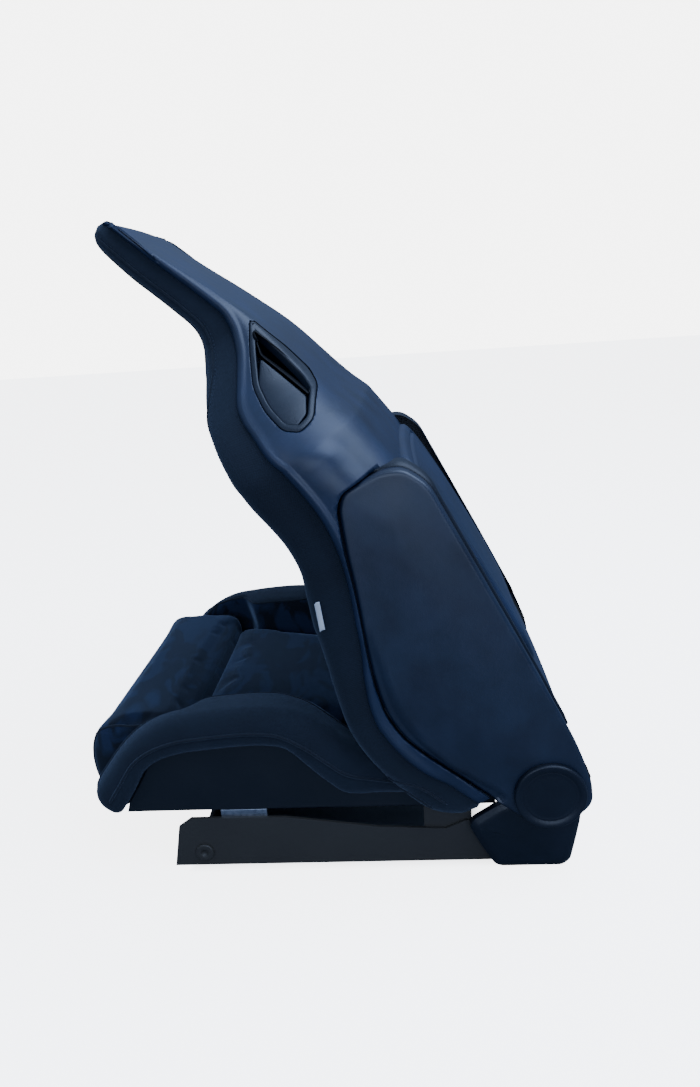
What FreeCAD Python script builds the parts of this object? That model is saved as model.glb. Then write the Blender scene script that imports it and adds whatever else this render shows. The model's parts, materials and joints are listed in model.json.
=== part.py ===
"""Racing seat with its backrest folded forward onto the cushion.

Frame: +Z up, the seat faces -Y, +X is the seat's left side, millimetres. The origin is on the
floor, at the centre of the four floor bolts. Both recliners turn about one line along X,
through (pivot_y, pivot_z). Backrest pieces are drawn in the backrest's own axes, X across,
Y rearwards and Z up the back, with their zero on that line, and are then leaned forward.
"""
import FreeCAD, Part
import math
import os

import Sketcher

Vector = FreeCAD.Vector
X_AXIS = Vector(1, 0, 0)

SIZES = {
    # overall sizes
    "bolt_spacing_x": 420, "bolt_spacing_y": 340, "bolt_hole": 8.5,
    "pivot_y": 260, "pivot_z": 111, "fold_lean": 30,
    "shoulder_height": 500, "neck_rise": 160, "head_length": 195,
    "member_half": 235, "neck_half": 158, "crown_half": 116, "back_depth": 68,
    "cushion_length": 590, "roll_height": 190, "bolster_height": 222,
    # frame
    "plate_gauge": 4, "member_foot": 44, "member_height": 70, "tube_radius": 11, "tube_bore": 5,
    "pan_gauge": 3, "pan_floor": 79, "pan_gap": 1, "bracket_length": 60,
    # recliners
    "running_gap": 0.3, "pin_radius": 10, "pin_head": 15, "shaft_radius": 6, "shaft_clearance": 0.05,
    "disc_radius": 34, "bracket_radius": 36, "head_gauge": 2.5, "head_gap": 0.6,
    "rod_radius": 5, "brace_radius": 9, "lever_gauge": 3,
    # covers and shell
    "trim_wall": 2.5, "cover_gap": 0.5, "panel_depth": 8, "cap_radius": 43, "cap_depth": 8,
    "wheel_radius": 40, "wheel_depth": 25, "wheel_gap": 0.8, "shell_wall": 3.5, "panel_gap": 1,
    "bezel_band": 7, "bezel_proud": 1.5, "pocket_depth": 8,
    # padding
    "pad_half": 150, "roll_half": 205, "pad_gap": 0.5, "bolster_proud": 20,
}

doc = FreeCAD.newDocument("RacingSeat")
sheet = doc.addObject("Spreadsheet::Sheet", "Sizes")
for row, (alias, number) in enumerate(SIZES.items(), start=1):
    sheet.set(f"A{row}", str(number))
    sheet.setAlias(f"A{row}", alias)
doc.recompute()


class Size:
    """A number now, with the sheet formula that works it out again."""

    def __init__(self, value, text):
        self.value = value
        self.text = text

    def merge(self, other, sign, swap=False):
        first, second = (as_size(other), self) if swap else (self, as_size(other))
        value = {"+": first.value + second.value, "-": first.value - second.value,
                 "*": first.value * second.value}[sign]
        return Size(value, f"({first.text} {sign} {second.text})")

    def __add__(self, other):
        return self.merge(other, "+")

    def __radd__(self, other):
        return self.merge(other, "+", swap=True)

    def __sub__(self, other):
        return self.merge(other, "-")

    def __rsub__(self, other):
        return self.merge(other, "-", swap=True)

    def __mul__(self, other):
        return self.merge(other, "*")

    def __rmul__(self, other):
        return self.merge(other, "*", swap=True)

    def __neg__(self):
        return -1 * self


def as_size(number):
    return number if isinstance(number, Size) else Size(number, str(number))


class Sizes:
    """Every cell of the sheet, as a Size named like its alias."""

    def __getattr__(self, alias):
        return Size(sheet.get(alias), f"Sizes.{alias}")


S = Sizes()
lean_cos = Size(math.cos(math.radians(S.fold_lean.value)), "cos(Sizes.fold_lean * 1 deg)")
lean_sin = Size(math.sin(math.radians(S.fold_lean.value)), "sin(Sizes.fold_lean * 1 deg)")

# Layers across the seat, from the side member outwards.
member_out = S.member_half
member_in = member_out - S.plate_gauge
pan_out = member_in - S.pan_gap
lower_out = member_out + S.plate_gauge
disc_in = lower_out + S.running_gap
disc_out = disc_in + S.plate_gauge
bracket_in = disc_out + S.running_gap
bracket_out = bracket_in + S.plate_gauge
head_in = bracket_out + S.running_gap
head_out = head_in + S.head_gauge
cover_out = head_out + S.head_gap + S.trim_wall
panel_in = cover_out + S.cover_gap
panel_out = panel_in + S.panel_depth
cap_out = panel_out + S.cap_depth
lever_in = panel_in + 1.2
shell_hip = panel_out - 4
shell_shoulder = panel_out + 4

NODES = {}


# ---------------------------------------------------------------- helpers

def bind(item, **sizes):
    """Tie properties of an object to the sheet."""
    for name, size in sizes.items():
        item.setExpression(name, as_size(size).text)
    return item


def place(item, x=0, y=0, z=0, axis=None, angle=0):
    """Put an object somewhere, with its place tied to the sheet."""
    if axis is not None:
        item.Placement = FreeCAD.Placement(Vector(0, 0, 0), FreeCAD.Rotation(axis, 1))
        item.setExpression(".Placement.Rotation.Angle", f"{as_size(angle).text} * 1 deg")
    for name, size in (("x", x), ("y", y), ("z", z)):
        item.setExpression(f".Placement.Base.{name}", f"{as_size(size).text} * 1 mm")
    return item


def fold(item, x=0):
    """Lean a piece that was drawn in the backrest's own axes."""
    return place(item, x, S.pivot_y, S.pivot_z, X_AXIS, S.fold_lean)


def behind(distance):
    """A place along Y, counted rearwards from the recliner line."""
    return S.pivot_y + distance


def block(name, x, y, z):
    """A box between the low and high places of each axis."""
    item = doc.addObject("Part::Box", name)
    spans = [as_size(high) - as_size(low) for low, high in (x, y, z)]
    bind(item, Length=spans[0], Width=spans[1], Height=spans[2])
    return place(item, x[0], y[0], z[0])


def rod(name, radius, x, y=0, z=0):
    """A round bar along X from x[0] to x[1]."""
    item = doc.addObject("Part::Cylinder", name)
    bind(item, Radius=radius, Height=as_size(x[1]) - as_size(x[0]))
    place(item, x[0], y, z, Vector(0, 1, 0), 90)
    return item


def folded_rod(name, radius, x, back, up):
    """A round bar along X at a place in the backrest's own axes."""
    back, up = as_size(back), as_size(up)
    y = S.pivot_y + back * lean_cos - up * lean_sin
    z = S.pivot_z + back * lean_sin + up * lean_cos
    return rod(name, radius, x, y, z)


def join(name, *items):
    item = doc.addObject("Part::MultiFuse", name)
    item.Shapes = list(items)
    return item


def cut(name, base, *tools):
    item = doc.addObject("Part::Cut", name)
    item.Base = base
    item.Tool = tools[0] if len(tools) == 1 else join(name + "_tools", *tools)
    return item


def mirrored(name, source):
    item = doc.addObject("Part::Mirroring", name)
    item.Source = source
    item.Normal = X_AXIS
    item.Base = Vector(0, 0, 0)
    return item


def plate(name, outline, x, leaned=False):
    """A flat plate across X, padded from a sketched outline of (y, z) corners."""
    body = doc.addObject("PartDesign::Body", name)
    sketch = body.newObject("Sketcher::SketchObject", name + "_sketch")
    side_plane = [plane for plane in body.Origin.OriginFeatures if plane.Role == "YZ_Plane"][0]
    sketch.AttachmentSupport = [(side_plane, "")]
    sketch.MapMode = "FlatFace"
    corners = [(as_size(y), as_size(z)) for y, z in outline]
    places = [Vector(y.value, z.value, 0) for y, z in corners]
    count = len(places)
    for index in range(count):
        side = Part.LineSegment(places[index], places[(index + 1) % count])
        sketch.addGeometry(side, False)
    for index in range(count):
        sketch.addConstraint(Sketcher.Constraint("Coincident", index, 2, (index + 1) % count, 1))
    for index, corner in enumerate(corners):
        for kind, size in zip(("DistanceX", "DistanceY"), corner):
            held = sketch.addConstraint(Sketcher.Constraint(kind, -1, 1, index, 1, size.value))
            sketch.setExpression(f"Constraints[{held}]", f"{size.text} * 1 mm")
    pad = body.newObject("PartDesign::Pad", name + "_pad")
    pad.Profile = sketch
    bind(pad, Length=as_size(x[1]) - as_size(x[0]))
    if leaned:
        return fold(body, x[0])
    return place(body, x[0])


def node(label, item):
    item.Label = label
    NODES[label] = item
    return item


def pair(label, left):
    """The left piece and its mirror image on the right."""
    node(label + "_left", left)
    node(label + "_right", mirrored(label + "_right_mirror", left))


def shaped(label, shape, leaned=True):
    """A piece with a free shape, which is drawn with Part's own functions."""
    item = doc.addObject("Part::Feature", label + "_shape")
    item.Shape = shape
    if leaned:
        item.Placement = FreeCAD.Placement(Vector(0, S.pivot_y.value, S.pivot_z.value),
                                           FreeCAD.Rotation(X_AXIS, S.fold_lean.value))
    return item


def rounded_wire(corners, x=0.0):
    """A closed outline of straight runs joined by tangent arcs, each as large as fits."""
    points = [Vector(x, y, z) for y, z in corners]
    bends = []
    for index, corner in enumerate(points):
        before = points[index - 1] - corner
        after = points[(index + 1) % len(points)] - corner
        reach = 0.45 * min(before.Length, after.Length)
        half_turn = (math.pi - before.getAngle(after)) / 2
        before.normalize()
        after.normalize()
        middle = None
        if half_turn > 0.01:
            inward = (before + after).normalize()
            middle = corner + inward * (reach / math.tan(half_turn) * (1 / math.cos(half_turn) - 1))
        bends.append((corner + before * reach, middle, corner + after * reach))
    edges = []
    for index, (enter, middle, leave) in enumerate(bends):
        edges.append(Part.LineSegment(bends[index - 1][2], enter).toShape())
        bend = Part.LineSegment(enter, leave) if middle is None else Part.Arc(enter, middle, leave)
        edges.append(bend.toShape())
    return Part.Wire(edges)


def prism(wire, x_low, x_high):
    """The solid that an outline sweeps across the seat."""
    face = Part.Face(wire.translated(Vector(x_low - wire.BoundBox.XMin, 0, 0)))
    return face.extrude(Vector(x_high - x_low, 0, 0))


def outline_prism(corners, x_low, x_high):
    return prism(rounded_wire(corners), x_low, x_high)


def sharp_prism(corners, x_low, x_high):
    points = [Vector(x_low, y, z) for y, z in corners]
    return Part.Face(Part.makePolygon(points + points[:1])).extrude(Vector(x_high - x_low, 0, 0))


def grown(wire, distance):
    return wire.makeOffset2D(distance)


def bar(radius, x_low, x_high, back=0.0, up=0.0):
    return Part.makeCylinder(radius, x_high - x_low, Vector(x_low, back, up), X_AXIS)


def mirror_x(shape):
    return shape.mirror(Vector(0, 0, 0), X_AXIS)


# ---------------------------------------------------------------- side members and cross tubes

foot_front, foot_rear = behind(-479), behind(12)
web = plate("member_web", [
    (foot_front, 0), (foot_rear, 0), (foot_rear, 58), (behind(-101), 58), (behind(-125), 47),
    (behind(-213), 52), (behind(-329), S.member_height - 1), (behind(-451), S.member_height),
    (behind(-468), S.member_height - 12)], (member_in, member_out))
foot = block("member_foot", (member_out - S.member_foot, member_in), (foot_front, foot_rear),
             (0, S.plate_gauge))
bolt_radius = S.bolt_hole * 0.5
bolt_x = S.bolt_spacing_x * 0.5


def floor_hole(name, y):
    hole = doc.addObject("Part::Cylinder", name)
    bind(hole, Radius=bolt_radius, Height=S.plate_gauge + 2)
    return place(hole, bolt_x, y, -1)


tube_places = {"front": (behind(-438), 20), "rear": (behind(-22), 21)}
tube_holes = [rod(f"tube_hole_{end}", S.tube_bore, (member_in - 1, member_out + 1), y, z)
              for end, (y, z) in tube_places.items()]
pair("side_member", cut("side_member_cut", join("side_member_body", web, foot),
                        floor_hole("floor_hole_front", S.bolt_spacing_y * -0.5),
                        floor_hole("floor_hole_rear", S.bolt_spacing_y * 0.5), *tube_holes))

for end, (y, z) in tube_places.items():
    tube = rod(f"tube_{end}_outside", S.tube_radius, (-member_in, member_in), y, z)
    bore = rod(f"tube_{end}_bore", S.tube_bore, (-1 * member_out, member_out), y, z)
    node(f"cross_tube_{end}", cut(f"cross_tube_{end}_cut", tube, bore))

screw_head_radius, screw_head_gauge, screw_length, thread_play = 12, 3.2, 34, 0.1
screw_y, screw_z = tube_places["front"]
screw_head = rod("screw_head", screw_head_radius, (member_out, member_out + screw_head_gauge),
                 screw_y, screw_z)
screw_shank = rod("screw_shank", S.tube_bore - thread_play, (member_out - screw_length, member_out),
                  screw_y, screw_z)
pair("frame_screw", join("frame_screw_body", screw_head, screw_shank))

# ---------------------------------------------------------------- cushion pan and its brackets

pan_front, pan_rear = behind(-534), behind(-62)
pan_in = pan_out - S.pan_gauge
floor_top = S.pan_floor + S.pan_gauge
pan_edge = [(-531, 90), (-515, 115), (-498, 144), (-475, 160), (-446, 169), (-411, 172),
            (-341, 175), (-317, 169), (-294, 148), (-266, 120), (-243, 98), (-90, 98), (-62, 92)]
pan_side = [(pan_front, S.pan_floor)] + [(behind(y), z) for y, z in pan_edge]
pan_side.append((pan_rear, S.pan_floor))
pan_parts = [block("pan_bottom", (-pan_in, pan_in), (pan_front, pan_rear), (S.pan_floor, floor_top)),
             block("pan_rear_lip", (-pan_in, pan_in), (pan_rear - S.pan_gauge, pan_rear),
                   (floor_top, S.pan_floor + 12))]
pan_left = plate("pan_side", pan_side, (pan_in, pan_out))
pan_parts += [pan_left, mirrored("pan_side_mirror", pan_left)]
node("cushion_pan", join("cushion_pan_body", *pan_parts))

for end, start, low in (("front", -412, 36), ("rear", -152, 16)):
    y = (behind(start), behind(start) + S.bracket_length)
    upright = block(f"bracket_{end}_upright", (member_in - S.plate_gauge, member_in), y,
                    (low, S.pan_floor))
    shelf = block(f"bracket_{end}_shelf", (member_out - 35, member_in - S.plate_gauge), y,
                  (S.pan_floor - S.plate_gauge, S.pan_floor))
    pair(f"pan_bracket_{end}", join(f"pan_bracket_{end}_body", upright, shelf))

# ---------------------------------------------------------------- recliners

pivot = {"y": S.pivot_y, "z": S.pivot_z}
pin_hole = S.pin_radius + S.shaft_clearance
lower_arm = plate("lower_plate_arm", [
    (behind(-58), 8), (behind(10), 8), (behind(22), 30), (behind(34), 96), (behind(28), 130),
    (behind(-28), 130), (behind(-34), 100), (behind(-58), 60)], (member_out, lower_out))
lower_hole = rod("lower_plate_hole", S.pin_radius, (member_out - 1, lower_out + 1), **pivot)
pair("lower_plate", cut("lower_plate_cut", lower_arm, lower_hole))

pin_body = join("pin_body", rod("pin_shank", S.pin_radius, (member_in, head_in), **pivot),
                rod("pin_flange", S.pin_head, (head_in, head_out), **pivot))
pin_bore = rod("pin_bore", S.shaft_radius + S.shaft_clearance, (member_in - 1, head_out + 1), **pivot)
pair("pivot_pin", cut("pivot_pin_cut", pin_body, pin_bore))

disc_span = (disc_in - 1, disc_out + 1)
notch = rod("notch", 5, disc_span, S.pivot_y + S.disc_radius * 0.74, S.pivot_z + S.disc_radius * 0.67)
pair("recliner_plate", cut(
    "recliner_plate_cut", rod("recliner_disc", S.disc_radius, (disc_in, disc_out), **pivot),
    rod("recliner_disc_hole", pin_hole, disc_span, **pivot), notch))

shaft_right = -(panel_out + S.wheel_depth - 4)
node("sync_shaft", rod("sync_shaft_bar", S.shaft_radius, (shaft_right, head_out), **pivot))
wheel_in = panel_out + S.wheel_gap
wheel_rim = rod("wheel_rim", S.wheel_radius, (-wheel_in - S.wheel_depth, -wheel_in), **pivot)
wheel_bore = rod("wheel_bore", S.shaft_radius, (shaft_right, -wheel_in + 1), **pivot)
node("handwheel", cut("handwheel_cut", wheel_rim, wheel_bore))

cover_outline = [(-57, 89), (-92, 67), (-96, 59), (-92, 51), (-80, 27), (-66, 4), (-58, 0.5),
                 (18, 0.5), (28, 9), (35, 43), (40, 70), (38, 96), (-30, 98)]
cover_wire = rounded_wire([(y + S.pivot_y.value, z) for y, z in cover_outline])
wall = S.trim_wall.value
cover = prism(cover_wire, lower_out.value + 0.5, cover_out.value)
cover_hollow = prism(grown(cover_wire, -wall), lower_out.value, cover_out.value - wall)
cover_top = Part.makeBox(60, 120, 60, Vector(lower_out.value, S.pivot_y.value - 52, 84))
cover_top = cover_top.common(bar(200, 0, cover_out.value - wall, S.pivot_y.value, S.pivot_z.value))
shaft_hole = bar(S.shaft_radius.value + 2, 0, 400, S.pivot_y.value, S.pivot_z.value)
cover = cover.cut(cover_hollow).cut(cover_top).cut(shaft_hole)
pair("recliner_cover", shaped("recliner_cover", cover, leaned=False))

# ---------------------------------------------------------------- backrest frame and release

brace_back, brace_up = 20, 200
rod_back, rod_up = 30, 62
arm_outline = [(-30, -24), (0, -36), (30, -24), (38, 10), (46, 62), (34, 120), (30, 260),
               (-26, 260), (-34, 60), (-38, 10)]
arm = plate("bracket_arm", arm_outline, (bracket_in, bracket_out), leaned=True)
bracket_span = (bracket_in - 1, bracket_out + 1)
bracket_holes = [rod("bracket_pin_hole", pin_hole, bracket_span, **pivot),
                 folded_rod("bracket_rod_hole", S.rod_radius + S.shaft_clearance, bracket_span,
                            rod_back, rod_up)]
pair("upper_bracket", cut("upper_bracket_cut", arm, *bracket_holes))
node("cross_brace", folded_rod("cross_brace_tube", S.brace_radius, (-bracket_in, bracket_in),
                               brace_back, brace_up))
lever_out = lever_in + S.lever_gauge
node("release_rod", folded_rod("release_rod_bar", S.rod_radius, (-lever_in, lever_in),
                               rod_back, rod_up))
lever_outline = [(rod_back - 8, rod_up), (rod_back, rod_up + 8), (rod_back + 9, rod_up),
                 (54, 40), (55, 8), (52, -8), (46, -6), (45, 30)]
pair("release_lever", plate("lever", lever_outline, (lever_in, lever_out), leaned=True))
pawl = plate("pawl", [(rod_back - 8, rod_up + 4), (rod_back + 6, rod_up + 8), (rod_back + 9, rod_up - 4),
                      (21, 32), (14, 33)], (disc_in, disc_out), leaned=True)
pawl_hole = folded_rod("pawl_hole", S.rod_radius, (disc_in - 1, disc_out + 1), rod_back, rod_up)
pair("latch_pawl", cut("latch_pawl_cut", pawl, pawl_hole))

# ---------------------------------------------------------------- shape of the back


def lift(level):
    """Height up the back: level 1 is the shoulder, 2 the neck and 3 the crown."""
    spans = (S.shoulder_height.value, S.neck_rise.value, S.head_length.value)
    whole = min(max(int(level), 0), 2)
    return sum(spans[:whole]) + spans[whole] * (level - whole)


def risen(outline):
    return [(back, lift(level)) for level, back in outline]


shoulder, neck = shell_shoulder.value, S.neck_half.value
depth = S.back_depth.value
# level, half width, back surface, corner radius
STATIONS = [
    (-0.02, shell_hip.value - 1, depth - 17, 36), (0.30, shell_hip.value, depth - 9, 40),
    (0.60, shell_hip.value + 2, depth - 3, 50), (0.86, shell_shoulder.value - 1, depth - 1, 68),
    (1.00, shoulder, depth - 8, 84), (1.19, shoulder - 8, depth - 15, 86),
    (1.38, shoulder - 0.30 * (shoulder - neck), depth - 23, 84),
    (1.69, shoulder - 0.68 * (shoulder - neck), depth - 39, 74), (2.00, neck, depth - 57, 62),
    (2.31, neck - 18, depth - 81, 48), (2.67, S.crown_half.value + 12, depth - 114, 38),
    (2.95, S.crown_half.value, depth - 138, 28), (3.01, S.crown_half.value - 12, depth - 146, 20)]


def section(level, half, back, radius, inset, front=-260.0):
    """One slice across the back: two sides, two round corners and the back face."""
    half, back, radius = half - inset, back - inset, radius - inset
    height = lift(level)
    slant = radius * (1 - math.sqrt(0.5))

    def point(x, y):
        return Vector(x, y, height)
    edges = [
        Part.LineSegment(point(half, front), point(half, back - radius)),
        Part.Arc(point(half, back - radius), point(half - slant, back - slant),
                 point(half - radius, back)),
        Part.LineSegment(point(half - radius, back), point(radius - half, back)),
        Part.Arc(point(radius - half, back), point(slant - half, back - slant),
                 point(-half, back - radius)),
        Part.LineSegment(point(-half, back - radius), point(-half, front)),
        Part.LineSegment(point(-half, front), point(half, front))]
    return Part.Wire([edge.toShape() for edge in edges])


def back_form(inset, top=0.0):
    """The whole back as one solid, drawn in by the inset and lowered at the crown."""
    slices = [section(*station, inset) for station in STATIONS[:-1]]
    level, half, back, radius = STATIONS[-1]
    slices.append(section(level - top / S.head_length.value, half, back, radius, inset))
    return Part.makeLoft(slices, True, True)


shell_thick = S.shell_wall.value
outer_form = back_form(0.0)
inner_form = back_form(shell_thick, top=2 * shell_thick)

shell_line = [(3.00, -84), (2.88, -66), (2.58, -49), (2.22, -22), (2.05, -15), (1.85, -27), (1.62, -52),
              (1.45, -58), (1.10, -51), (0.90, -40), (0.76, -47), (0.62, -76), (0.49, -106),
              (0.36, -129), (0.25, -125), (0.14, -102), (0.08, -86)]
front_line = [(2.96, -98), (2.91, -107), (2.80, -100), (2.38, -75), (2.16, -58), (2.00, -62), (1.76, -84),
              (1.50, -98), (1.20, -101), (0.90, -93), (0.78, -94), (0.66, -118), (0.53, -139),
              (0.40, -161), (0.32, -166), (0.22, -161), (0.13, -148), (0.07, -133), (0.04, -116),
              (0.05, -96)]
behind_shell = risen(shell_line) + [(120, lift(0.08)), (120, lift(3.1)), (-84, lift(3.1))]
padding_side = risen(front_line) + [(120, lift(0.05)), (120, lift(3.1)), (-98, lift(3.1))]

panel_corners = [(-18, lift(0.86)), (-2, lift(0.885)), (40, lift(0.88)), (64, lift(0.86)),
                 (78, lift(0.80)), (76, lift(0.68)), (68, lift(0.36)), (60, 40), (50, -12), (36, -42),
                 (10, -49), (-40, -26), (-62, 14), (-84, 84), (-104, lift(0.25)), (-111, lift(0.36)),
                 (-100, lift(0.46)), (-70, lift(0.61)), (-40, lift(0.76))]
panel_wire = rounded_wire(panel_corners)
panel_gap = S.panel_gap.value
recess = prism(grown(panel_wire, panel_gap), bracket_in.value, 400)
rim_solid = prism(grown(panel_wire, panel_gap + shell_thick), bracket_in.value - shell_thick, 400)
above_pawl = Part.makeBox(800, 400, 1200, Vector(-400, -200, 92))
rim = rim_solid.cut(recess).common(outer_form).common(above_pawl)

# ---------------------------------------------------------------- harness openings

slot_corners = [(14, lift(1.90)), (22, lift(1.84)), (38, lift(1.48)), (14, lift(1.34)),
                (-2, lift(1.70))]
bezel_corners = [(6, lift(1.98)), (15, lift(1.96)), (32, lift(1.70)), (46, lift(1.42)), (38, lift(1.34)),
                 (6, lift(1.15)), (-8, lift(1.14)), (-20, lift(1.24)), (-27, lift(1.42)),
                 (-27, lift(1.55)), (-10, lift(1.78))]
slot_wire = rounded_wire(slot_corners)
bezel_wire = rounded_wire(bezel_corners)
band = S.bezel_band.value
bezel_in = 128
bezel_hole = prism(bezel_wire, bezel_in, 400)
duct_in = 112
proud_form = back_form(-S.bezel_proud.value)
flush_skin = outer_form.cut(inner_form)
proud_skin = proud_form.cut(inner_form)
slot_hole = prism(slot_wire, duct_in, 400)
duct_outside = prism(grown(slot_wire, wall), duct_in, 400)
slot_forward = Part.Face(slot_wire.translated(Vector(duct_in - slot_wire.BoundBox.XMin, 0, 0)))
slot_forward = slot_forward.extrude(Vector(-50, -150, 0))
belt_path = duct_outside.fuse(slot_forward)
bezel_ring = bezel_hole.cut(prism(grown(bezel_wire, -band), bezel_in - 1, 401))
bezel = bezel_ring.common(proud_skin).cut(duct_outside)
flap = prism(grown(bezel_wire, -band - 0.6), bezel_in, 400).cut(duct_outside).common(flush_skin)
duct = duct_outside.cut(slot_hole).common(proud_form)

shell_side = rounded_wire(behind_shell)
shell_solid = flush_skin.common(prism(shell_side, -400, 400)).cut(recess).cut(mirror_x(recess))
shell_solid = shell_solid.cut([bezel_hole, mirror_x(bezel_hole), duct_outside, mirror_x(duct_outside)])
shell_solid = shell_solid.fuse([rim, mirror_x(rim)])
rod_space = bar(S.rod_radius.value + 2, -400, 400, rod_back, rod_up)
brace_space = bar(S.brace_radius.value + 0.2, -400, 400, brace_back, brace_up)
shell_solid = shell_solid.cut(rod_space).cut(brace_space)
node("backrest_shell", shaped("backrest_shell", shell_solid))
for label, piece in (("belt_bezel", bezel), ("belt_flap", flap), ("belt_duct", duct)):
    pair(label, shaped(label, piece))

# ---------------------------------------------------------------- side panels and back panel

panel = prism(panel_wire, panel_in.value, panel_out.value)
panel = panel.cut(prism(grown(panel_wire, -wall), panel_in.value - 1, panel_out.value - wall))
lever_slot_low, lever_slot_top, lever_slot_in, lever_play = -24, 62, 40, 0.7
lever_slot = Part.makeBox(lever_out.value + lever_play - panel_in.value, 40,
                          lever_slot_top - lever_slot_low,
                          Vector(panel_in.value, lever_slot_in, lever_slot_low))
panel_hole = bar(S.shaft_radius.value + 2, 0, 400)
screw_places = ((-41, lift(0.28)), (34, lift(0.66)))
screw_radius, screw_cap_radius, screw_cap_gauge = 2, 3.5, 0.8
screw_holes = [bar(screw_radius, panel_in.value, panel_out.value + 1, back, up)
               for back, up in screw_places]
panel = panel.cut([lever_slot, panel_hole] + screw_holes)
pair("side_panel", shaped("side_panel", panel))
screws = []
for back, up in screw_places:
    screw = bar(screw_radius, panel_in.value, panel_out.value, back, up)
    screw_cap = bar(screw_cap_radius, panel_out.value, panel_out.value + screw_cap_gauge, back, up)
    screws.append(screw.fuse(screw_cap))
all_screws = Part.makeCompound(screws + [mirror_x(one) for one in screws])
node("panel_screws", shaped("panel_screws", all_screws))
cap_disc = rod("cap_disc", S.cap_radius, (panel_out, cap_out), **pivot)
cap_spigot = rod("cap_spigot", S.shaft_radius + 1.5, (panel_out - S.trim_wall, panel_out), **pivot)
node("hinge_cap_left", join("hinge_cap_body", cap_disc, cap_spigot))

pocket = S.pocket_depth.value
pocket_form = back_form(-pocket).cut(back_form(-0.3))
pocket_block = Part.makeBox(2 * 168, 200, lift(0.875) - lift(0.22), Vector(-168, depth - 60, lift(0.22)))
node("back_panel", shaped("back_panel", pocket_form.common(pocket_block)))

# ---------------------------------------------------------------- padding

cushion_line = [(-300, 330), (-215, 240), (-189, 196), (-154, 134), (-120, 91), (-82, 58), (-60, -100),
                (-400, -100), (-400, 330)]
inner_reach = member_out.value - 0.5
cushion_space = sharp_prism(cushion_line, -inner_reach, inner_reach)
member_space = sharp_prism([(-240, -100), (-240, 60), (-90, 18), (-20, -100)], -400, member_out.value - 1)
torso_back, torso_front = 132.0, 226.0
torso_points = [Vector(-torso_back, 130, -80), Vector(torso_back, 130, -80), Vector(torso_back, 10, -80),
                Vector(torso_front, -200, -80), Vector(-torso_front, -200, -80),
                Vector(-torso_back, 10, -80)]
head_base = lift(1.6)
torso = Part.Face(Part.makePolygon(torso_points + torso_points[:1]))
torso = torso.extrude(Vector(0, 0, head_base + 80))
gap = S.pad_gap.value
pad_form = back_form(shell_thick + gap, top=3 * shell_thick)
padding = pad_form.common(outline_prism(padding_side, -400, 400))
left_half = Part.makeBox(400, 800, 1400, Vector(0, -400, -200))
panel_space = prism(grown(panel_wire, panel_gap + shell_thick + gap),
                    bracket_in.value - shell_thick - gap, 400)
belt_space = belt_path.fuse(prism(grown(bezel_wire, gap), 130, 400))
wing = padding.common(left_half).cut(torso).cut(panel_space).cut(cushion_space).cut(member_space)
wing = wing.cut(Part.makeBox(800, 800, 900, Vector(-400, -400, head_base)))
wing = wing.cut(brace_space).cut(bar(S.rod_radius.value + 6, -400, 400, rod_back, rod_up)).cut(belt_space)
recliner_space = bar(92, -400, 400)
wing = wing.cut(recliner_space)
wing = max(wing.Solids, key=lambda solid: solid.Volume)
pair("wing", shaped("wing", wing))

head = padding.common(Part.makeBox(800, 800, 900, Vector(-400, -400, head_base + gap)))
nape = sharp_prism([(-300, head_base - 20), (-42, head_base - 20), (-62, lift(2.1)),
                    (-300, lift(2.1))],
                   -torso_back + 12, torso_back - 12)
head = head.cut(belt_space).cut(mirror_x(belt_space)).cut(nape)
head = max(head.Solids, key=lambda solid: solid.Volume)
node("head_pad", shaped("head_pad", head))

pad_side = [(-12, 98), (-22, lift(0.36)), (-22, lift(0.56)), (-8, lift(0.8)), (-12, lift(1.1)),
            (-40, head_base - gap), (140, head_base - gap), (140, 98)]
back_pad = pad_form.common(outline_prism(pad_side, -torso_back + gap, torso_back - gap)).cut(brace_space)
back_pad = back_pad.cut(belt_space).cut(mirror_x(belt_space))
back_pad = max(back_pad.Solids, key=lambda solid: solid.Volume)
node("back_pad", shaped("back_pad", back_pad))

tag_width, tag_gauge = 5, 0.8
tag_in = shell_hip.value + gap
tag = sharp_prism([(-97, lift(0.71)), (-112, lift(0.64)), (-112 + tag_width, lift(0.64)),
                   (-97 + tag_width, lift(0.71))], tag_in, tag_in + tag_gauge)
node("seam_tag", shaped("seam_tag", tag))


def seat_place(outline):
    return [(y + S.pivot_y.value, z) for y, z in outline]


base_z = floor_top.value + gap
roll_top, bolster_top = S.roll_height.value, S.bolster_height.value
roll_front = -S.cushion_length.value
roll_joint = -453.0
roll_side = [(roll_joint, base_z), (-530, base_z), (roll_front + 10, base_z + 4), (roll_front, base_z + 40),
             (roll_front + 3, roll_top - 20), (roll_front + 16, roll_top), (roll_front + 60, roll_top + 1),
             (roll_joint - 14, roll_top - 3), (roll_joint, roll_top - 14)]
roll_half = S.roll_half.value
thigh_roll = outline_prism(seat_place(roll_side), -roll_half, roll_half)
node("thigh_roll", shaped("thigh_roll", thigh_roll, leaned=False))
pad_half = S.pad_half.value
pad_top = [(-85, base_z), (-85, 124), (-100, 130), (roll_joint + 20, roll_top - 8),
           (roll_joint + gap, roll_top - 16), (roll_joint + gap, base_z)]
seat_pad = outline_prism(seat_place(pad_top), -pad_half, pad_half)
node("seat_pad", shaped("seat_pad", seat_pad, leaned=False))

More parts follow.
